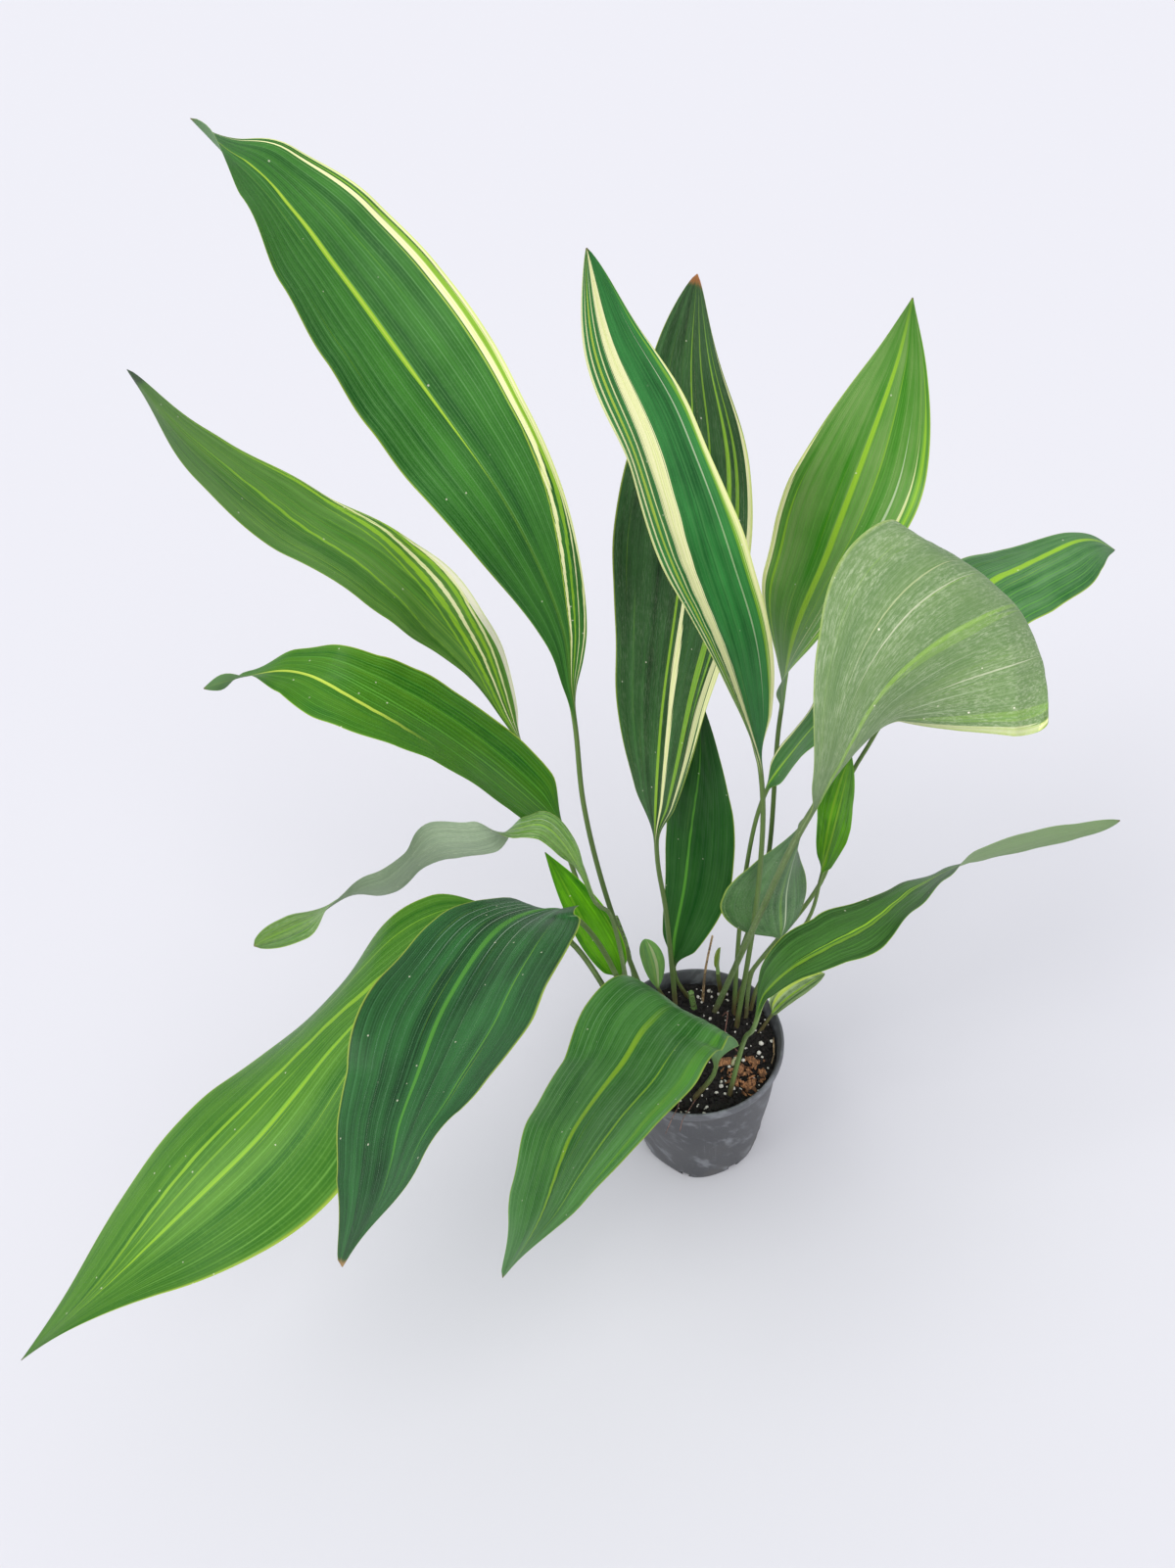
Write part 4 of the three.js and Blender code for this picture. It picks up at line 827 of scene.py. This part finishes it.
rand = random.Random(mix["seed"])
soilFinish = soilMaterial()
newObject("pottingMix", soilMesh(), soilFinish, ["soil"])
crumbs = scatter(rand, mix["crumbs"], 0.0006, 0.0032, 0.5, 0.3)
newObject("soilCrumbs", grainMesh("soilCrumbs", crumbs, 0.35), soilFinish)
grains = scatter(rand, mix["perlite"], 0.0007, 0.0027, 0.6, 0.45)
newObject("perlite", grainMesh("perlite", grains, 0.3), perliteMaterial())
print("potting mix:", len(crumbs), "crumbs,", len(grains), "perlite grains")


splinterHeap = dict(reach=0.02, height=0.006, count=46, length=(0.002, 0.0062), thick=0.0007)


def barkMaterial(name="barkChip", dark="3c1c0e", light="cc9060"):
    shader = Shader(name)
    place = shader.place()
    drawn = shader.node("VectorMath", {"operation": "MULTIPLY"}, {0: place, 1: (900, 260, 500)})
    grain = shader.noise(drawn, 1.0, 4.0, 0.6)
    patch = shader.noise(place, 150.0, 3.0)
    base = shader.mix((grain + patch - 0.5).ramp(0.25, 0.75), dark, light)
    base = shader.mix(patch.ramp(0.52, 0.6) * 0.7, base, "2c1a10")
    normal = shader.bump(grain, 0.0006, 0.8)
    return shader.finish(base, grain * 0.2 + 0.65, {"Normal": normal})


def shreds(rand, centre):
    # long flat splinters lying across each other, highest in the middle of the heap
    heap, places = splinterHeap, []
    for _ in range(heap["count"]):
        away = heap["reach"] * math.sqrt(rand.random())
        dx, dy = polar(away, rand.uniform(0, 2 * math.pi))
        x, y = centre[0] + dx, centre[1] + dy
        size, thick = rand.uniform(*heap["length"]), heap["thick"]
        z = float(soilHeight(x, y)) + thick + rand.random() * heap["height"] * (1 - away / heap["reach"])
        spin = tumble(rand, ("Y", 0.5), ("X", 0.9))
        sizes = (size, size * rand.uniform(0.2, 0.5), thick * rand.uniform(0.6, 1.6))
        places.append(((x, y, z), sizes, spin))
    return places


def coat(names, finish):
    # a finish for CAD solids that stay as they are
    for name in names:
        nodes[name].data.materials.clear()
        nodes[name].data.materials.append(finish)


barkFinish = barkMaterial()
chips = [name for name in nodes if name.startswith("bark_chip")]
coat(chips, barkFinish)
spots = [sum((Vector(corner) for corner in nodes[name].bound_box), Vector()) / 8 for name in chips]
splinters = shreds(rand, sum(spots, Vector()) / len(spots))
newObject("barkSplinters", grainMesh("barkSplinters", splinters, 0.5, 2), barkFinish)

dryFinish = barkMaterial("dryHusk", "8a6a48", "cdb48c")
coat(["sheath_cut_centre", "stalk_cut_left"], barkMaterial("cutStalk", "4a6e2c", "86a860"))
coat(["stalk_dry_centre"], dryFinish)


def strandMesh(name, lines):
    # thin round fibres in one mesh: the points of each middle line and its radius at both ends
    points, faces, sides, fine = [], [], 7, 10
    for control, thick, thin in lines:
        t = np.linspace(0, len(control) - 1, fine * (len(control) - 1) + 1)
        line = splinePoints(np.array(control, float), t)
        direction = np.gradient(line, axis=0)
        direction /= np.linalg.norm(direction, axis=1)[:, None]
        side = np.cross(direction, (0.3, 0.2, 1.0))
        side /= np.linalg.norm(side, axis=1)[:, None]
        up = np.cross(direction, side)
        first = len(points)
        for i, centre in enumerate(line):
            radius = lerp(thick, thin, i / (len(line) - 1))
            for k in range(sides):
                turn = 2 * math.pi * k / sides
                points.append(tuple(centre + radius * (math.cos(turn) * side[i] + math.sin(turn) * up[i])))
        for i in range(len(line) - 1):
            a, b = first + i * sides, first + (i + 1) * sides
            faces += [(a + k, a + (k + 1) % sides, b + (k + 1) % sides, b + k) for k in range(sides)]
        faces.append(tuple(reversed(range(first, first + sides))))
        faces.append(tuple(range(len(points) - sides, len(points))))
    return smoothMesh(name, points, faces)


# dry roots and fibres on the mix, the last two hanging over the front of the rim
fibres = [
    ([(0.022, 0.003, 0.121), (0.029, -0.002, 0.1245), (0.036, -0.011, 0.1225)], 0.0007, 0.0004),
    ([(0.014, 0.02, 0.121), (0.024, 0.012, 0.126), (0.031, 0.001, 0.1215)], 0.0008, 0.0004),
    ([(0.03, 0.03, 0.1205), (0.033, 0.02, 0.137), (0.028, 0.009, 0.1215)], 0.0007, 0.0004),
    ([(-0.02, -0.045, 0.1215), (-0.024, -0.062, 0.129), (-0.03, -0.0755, 0.1365), (-0.038, -0.085, 0.128)],
     0.0005, 0.0002),
    ([(-0.006, -0.05, 0.1215), (-0.014, -0.064, 0.128), (-0.022, -0.0785, 0.1362), (-0.026, -0.086, 0.131)],
     0.0005, 0.0002),
]
fibreFinish = barkMaterial("dryFibre", "5c3430", "a88070")
newObject("dryFibres", strandMesh("dryFibres", fibres), fibreFinish)

# a shoot about to open among the bark, and a curled husk below the rim
shootFinish = barkMaterial("paleShoot", "b9c48c", "e8e6c0")
shoot = ([(0.03, -0.022, 0.119), (0.0305, -0.0225, 0.126), (0.0325, -0.0235, 0.132)], 0.0026, 0.0006)
newObject("paleShoot", strandMesh("paleShoot", [shoot]), shootFinish)
husk = [((0.0672, -0.0135, 0.1262), (0.0007, 0.0078, 0.0013), Matrix.Rotation(-0.2, 3, "Z").to_quaternion()),
        ((0.064, -0.025, 0.125), (0.0006, 0.006, 0.0008), Matrix.Rotation(-0.42, 3, "Z").to_quaternion())]
newObject("curledHusk", grainMesh("curledHusk", husk, 0.4, 3), dryFinish)
print("bark, fibres and husks")


def softSun(name, place, spread, power, tint):
    # even light from the direction of place, with the soft shadows of a large window
    light = bpy.data.lights.new(name, "SUN")
    light.angle, light.energy, light.color = math.radians(spread), power, tint
    lamp = bpy.data.objects.new(name, light)
    lamp.location = place
    lamp.rotation_euler = (-Vector(place)).to_track_quat("-Z", "Y").to_euler()
    bpy.context.scene.collection.objects.link(lamp)


bpy.context.scene.view_settings.view_transform = "Standard"
sheet = dict(reach=15, tint="d0cfd4", roughness=0.9)
corners = [(x * sheet["reach"], y * sheet["reach"], 0) for x, y in ((-1, -1), (1, -1), (1, 1), (-1, 1))]
floorMesh = bpy.data.meshes.new("floor")
floorMesh.from_pydata(corners, [], [(0, 1, 2, 3)])
floor = bpy.data.objects.new("floor", floorMesh)
floorMesh.materials.append(Shader("floorSheet").finish(sheet["tint"], sheet["roughness"], {}))
bpy.context.scene.collection.objects.link(floor)

room = dict(tint=(0.93, 0.95, 1.0, 1), strength=0.85)
world = bpy.data.worlds.new("softRoom")
world.use_nodes = True
sky = world.node_tree.nodes["Background"]
sky.inputs["Color"].default_value = room["tint"]
sky.inputs["Strength"].default_value = room["strength"]
bpy.context.scene.world = world
softSun("windowLeft", (-1.5, -0.7, 1.9), 35, 1.3, (1.0, 0.99, 0.97))
softSun("frontAbove", (0.3, -2.0, 2.0), 50, 1.2, (1, 1, 1))

view = dict(
    place=(-0.061845, -0.611165, 0.990605), pitch=41.7, roll=-7.9, focal=1200, frame=(1200, 1601), sensor=36)
camera = bpy.data.cameras.new("camera")
camera.sensor_width = view["sensor"]
camera.lens = view["focal"] * view["sensor"] / max(view["frame"])
viewer = bpy.data.objects.new("camera", camera)
tip, tilt = math.radians(90 - view["pitch"]), math.radians(view["roll"])
turn = Matrix.Rotation(tip, 4, "X") @ Matrix.Rotation(tilt, 4, "Z")
viewer.matrix_world = Matrix.Translation(view["place"]) @ turn
bpy.context.scene.collection.objects.link(viewer)
bpy.context.scene.camera = viewer
print("stage and camera")

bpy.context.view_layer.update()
